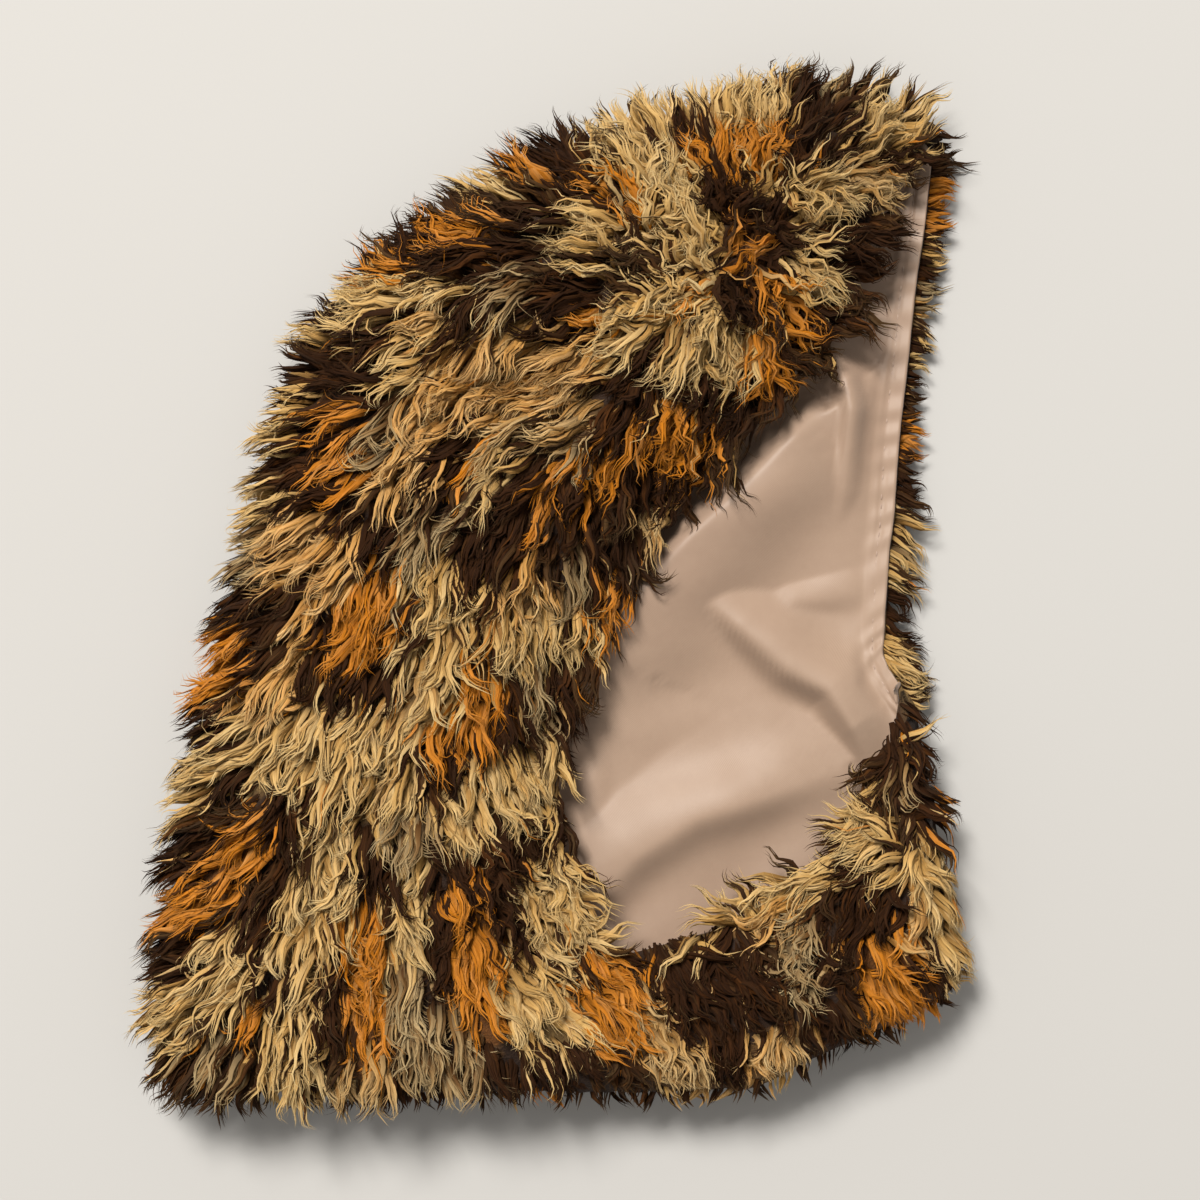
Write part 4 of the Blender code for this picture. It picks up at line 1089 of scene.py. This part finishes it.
# stitches that hold the casing
stitch = {"length": 0.0022, "every": 0.0033, "thick": 0.0005, "flat": 0.8, "from": 0.03, "to": 0.97,
          "sunk": 0.0004, "end": 0.002, "threadScale": 700.0}
threadFinish = Finish("casingThread", Roughness=0.55)
threadFinish.paint("Base Color", threadFinish.mix(satinLook["thread"], satinLook["deep"],
                                                  threadFinish.noise(stitch["threadScale"])))
bpy.ops.mesh.primitive_uv_sphere_add(segments=6, ring_count=5, radius=stitch["thick"] / 2)
oneStitch = bpy.context.object
bpy.ops.object.mode_set(mode="EDIT")
bpy.ops.transform.resize(value=(stitch["length"] / stitch["thick"], 1.0, stitch["flat"]))
bpy.ops.object.mode_set(mode="OBJECT")
stitchPoints = np.array([vertex.co for vertex in oneStitch.data.vertices])
stitchFaces = [list(face.vertices) for face in oneStitch.data.polygons]
bpy.data.objects.remove(oneStitch)
lineU = np.linspace(stitch["from"], stitch["to"], 1600)
lineV = liningLook["grooveAt"] / ribPlan("far", lineU, 0 * lineU)[2]
line, lineUp = farSheet(lineU, lineV), normalsOf(farSheet, lineU, lineV)
run = runAlong(line)
picks = np.arange(stitch["end"], run[-1] - stitch["end"], stitch["every"])
picks = np.interp(picks, run, np.arange(len(run)))
rise = over + hood["lining"] + liningLook["casingLift"] - stitch["sunk"]
vertices, faces = [], []
for number, pick in enumerate(picks):
    at = int(round(pick))
    ahead = unit(line[min(at + 2, len(line) - 1)] - line[max(at - 2, 0)])
    axes = np.stack([ahead, np.cross(lineUp[at], ahead), lineUp[at]])
    vertices.append(line[at] + lineUp[at] * rise + stitchPoints @ axes)
    faces += [[corner + number * len(stitchPoints) for corner in face] for face in stitchFaces]
starts = np.concatenate(([0], np.cumsum([len(face) for face in faces])[:-1]))
stitches = addMesh("casingStitches", np.concatenate(vertices), np.concatenate(faces), starts,
                   threadFinish.material, {})
print(len(picks), "stitches")

# what each piece rides on and replaces
furPieces = [*nearFur, downFur, rimFur, fringeFur, underFur]
for piece in (nearPelt, farPelt, *furPieces):
    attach(piece, "root")
for piece in (nearLining, farLining, stitches):
    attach(piece, "root")
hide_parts("near_side")
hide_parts("far_side")
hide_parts("near_lining")
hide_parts("far_lining")

# floor, light and camera
stage = {
    "floorSize": 4.0, "floorColour": (0.520, 0.512, 0.497, 1),
    "floorShade": (0.508, 0.494, 0.477, 1), "floorScale": 3.0,
    "cameraHeight": 0.90, "lens": 77.0, "sensor": 36.0, "aim": (0.0109, -0.0039),
    "lightAt": (-1.20, 2.45, 4.30), "lightSize": 1.35, "lightPower": 348.0,
    "lightColour": (1.0, 0.972, 0.925), "roomColour": (1.0, 0.97, 0.92, 1), "roomStrength": 0.38,
}
bpy.ops.mesh.primitive_plane_add(size=stage["floorSize"], location=(0, 0, 0))
floor = bpy.context.object
floor.name = "floor"
paper = Finish("palePaper", Roughness=0.9)
paper.paint("Base Color", paper.mix(stage["floorColour"], stage["floorShade"],
                                    paper.noise(stage["floorScale"])))
floor.data.materials.append(paper.material)
floor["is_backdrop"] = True

lamp = bpy.data.lights.new("windowLight", "AREA")
lamp.shape, lamp.size = "SQUARE", stage["lightSize"]
lamp.energy, lamp.color = stage["lightPower"], stage["lightColour"]
window = bpy.data.objects.new("windowLight", lamp)
bpy.context.scene.collection.objects.link(window)
window.location = stage["lightAt"]
dx, dy, dz = (-value for value in stage["lightAt"])  # towards the middle of the floor
window.rotation_euler = (math.atan2(math.hypot(dx, dy), -dz), 0, math.atan2(dx, -dy) + math.pi)
world = bpy.data.worlds.new("room")
bpy.context.scene.world = world
world.use_nodes = True
sky = world.node_tree.nodes["Background"]
sky.inputs["Color"].default_value = stage["roomColour"]
sky.inputs["Strength"].default_value = stage["roomStrength"]
bpy.context.scene.view_settings.view_transform = "Standard"

cameraData = bpy.data.cameras.new("camera")
cameraData.lens = stage["lens"]
cameraData.sensor_width = stage["sensor"]
camera = bpy.data.objects.new("camera", cameraData)
camera.location = (*stage["aim"], stage["cameraHeight"])
bpy.context.scene.collection.objects.link(camera)
bpy.context.scene.camera = camera

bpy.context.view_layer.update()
meshes = [piece.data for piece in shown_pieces()]
print("triangles", sum(len(mesh.loops) - 2 * len(mesh.polygons) for mesh in meshes))
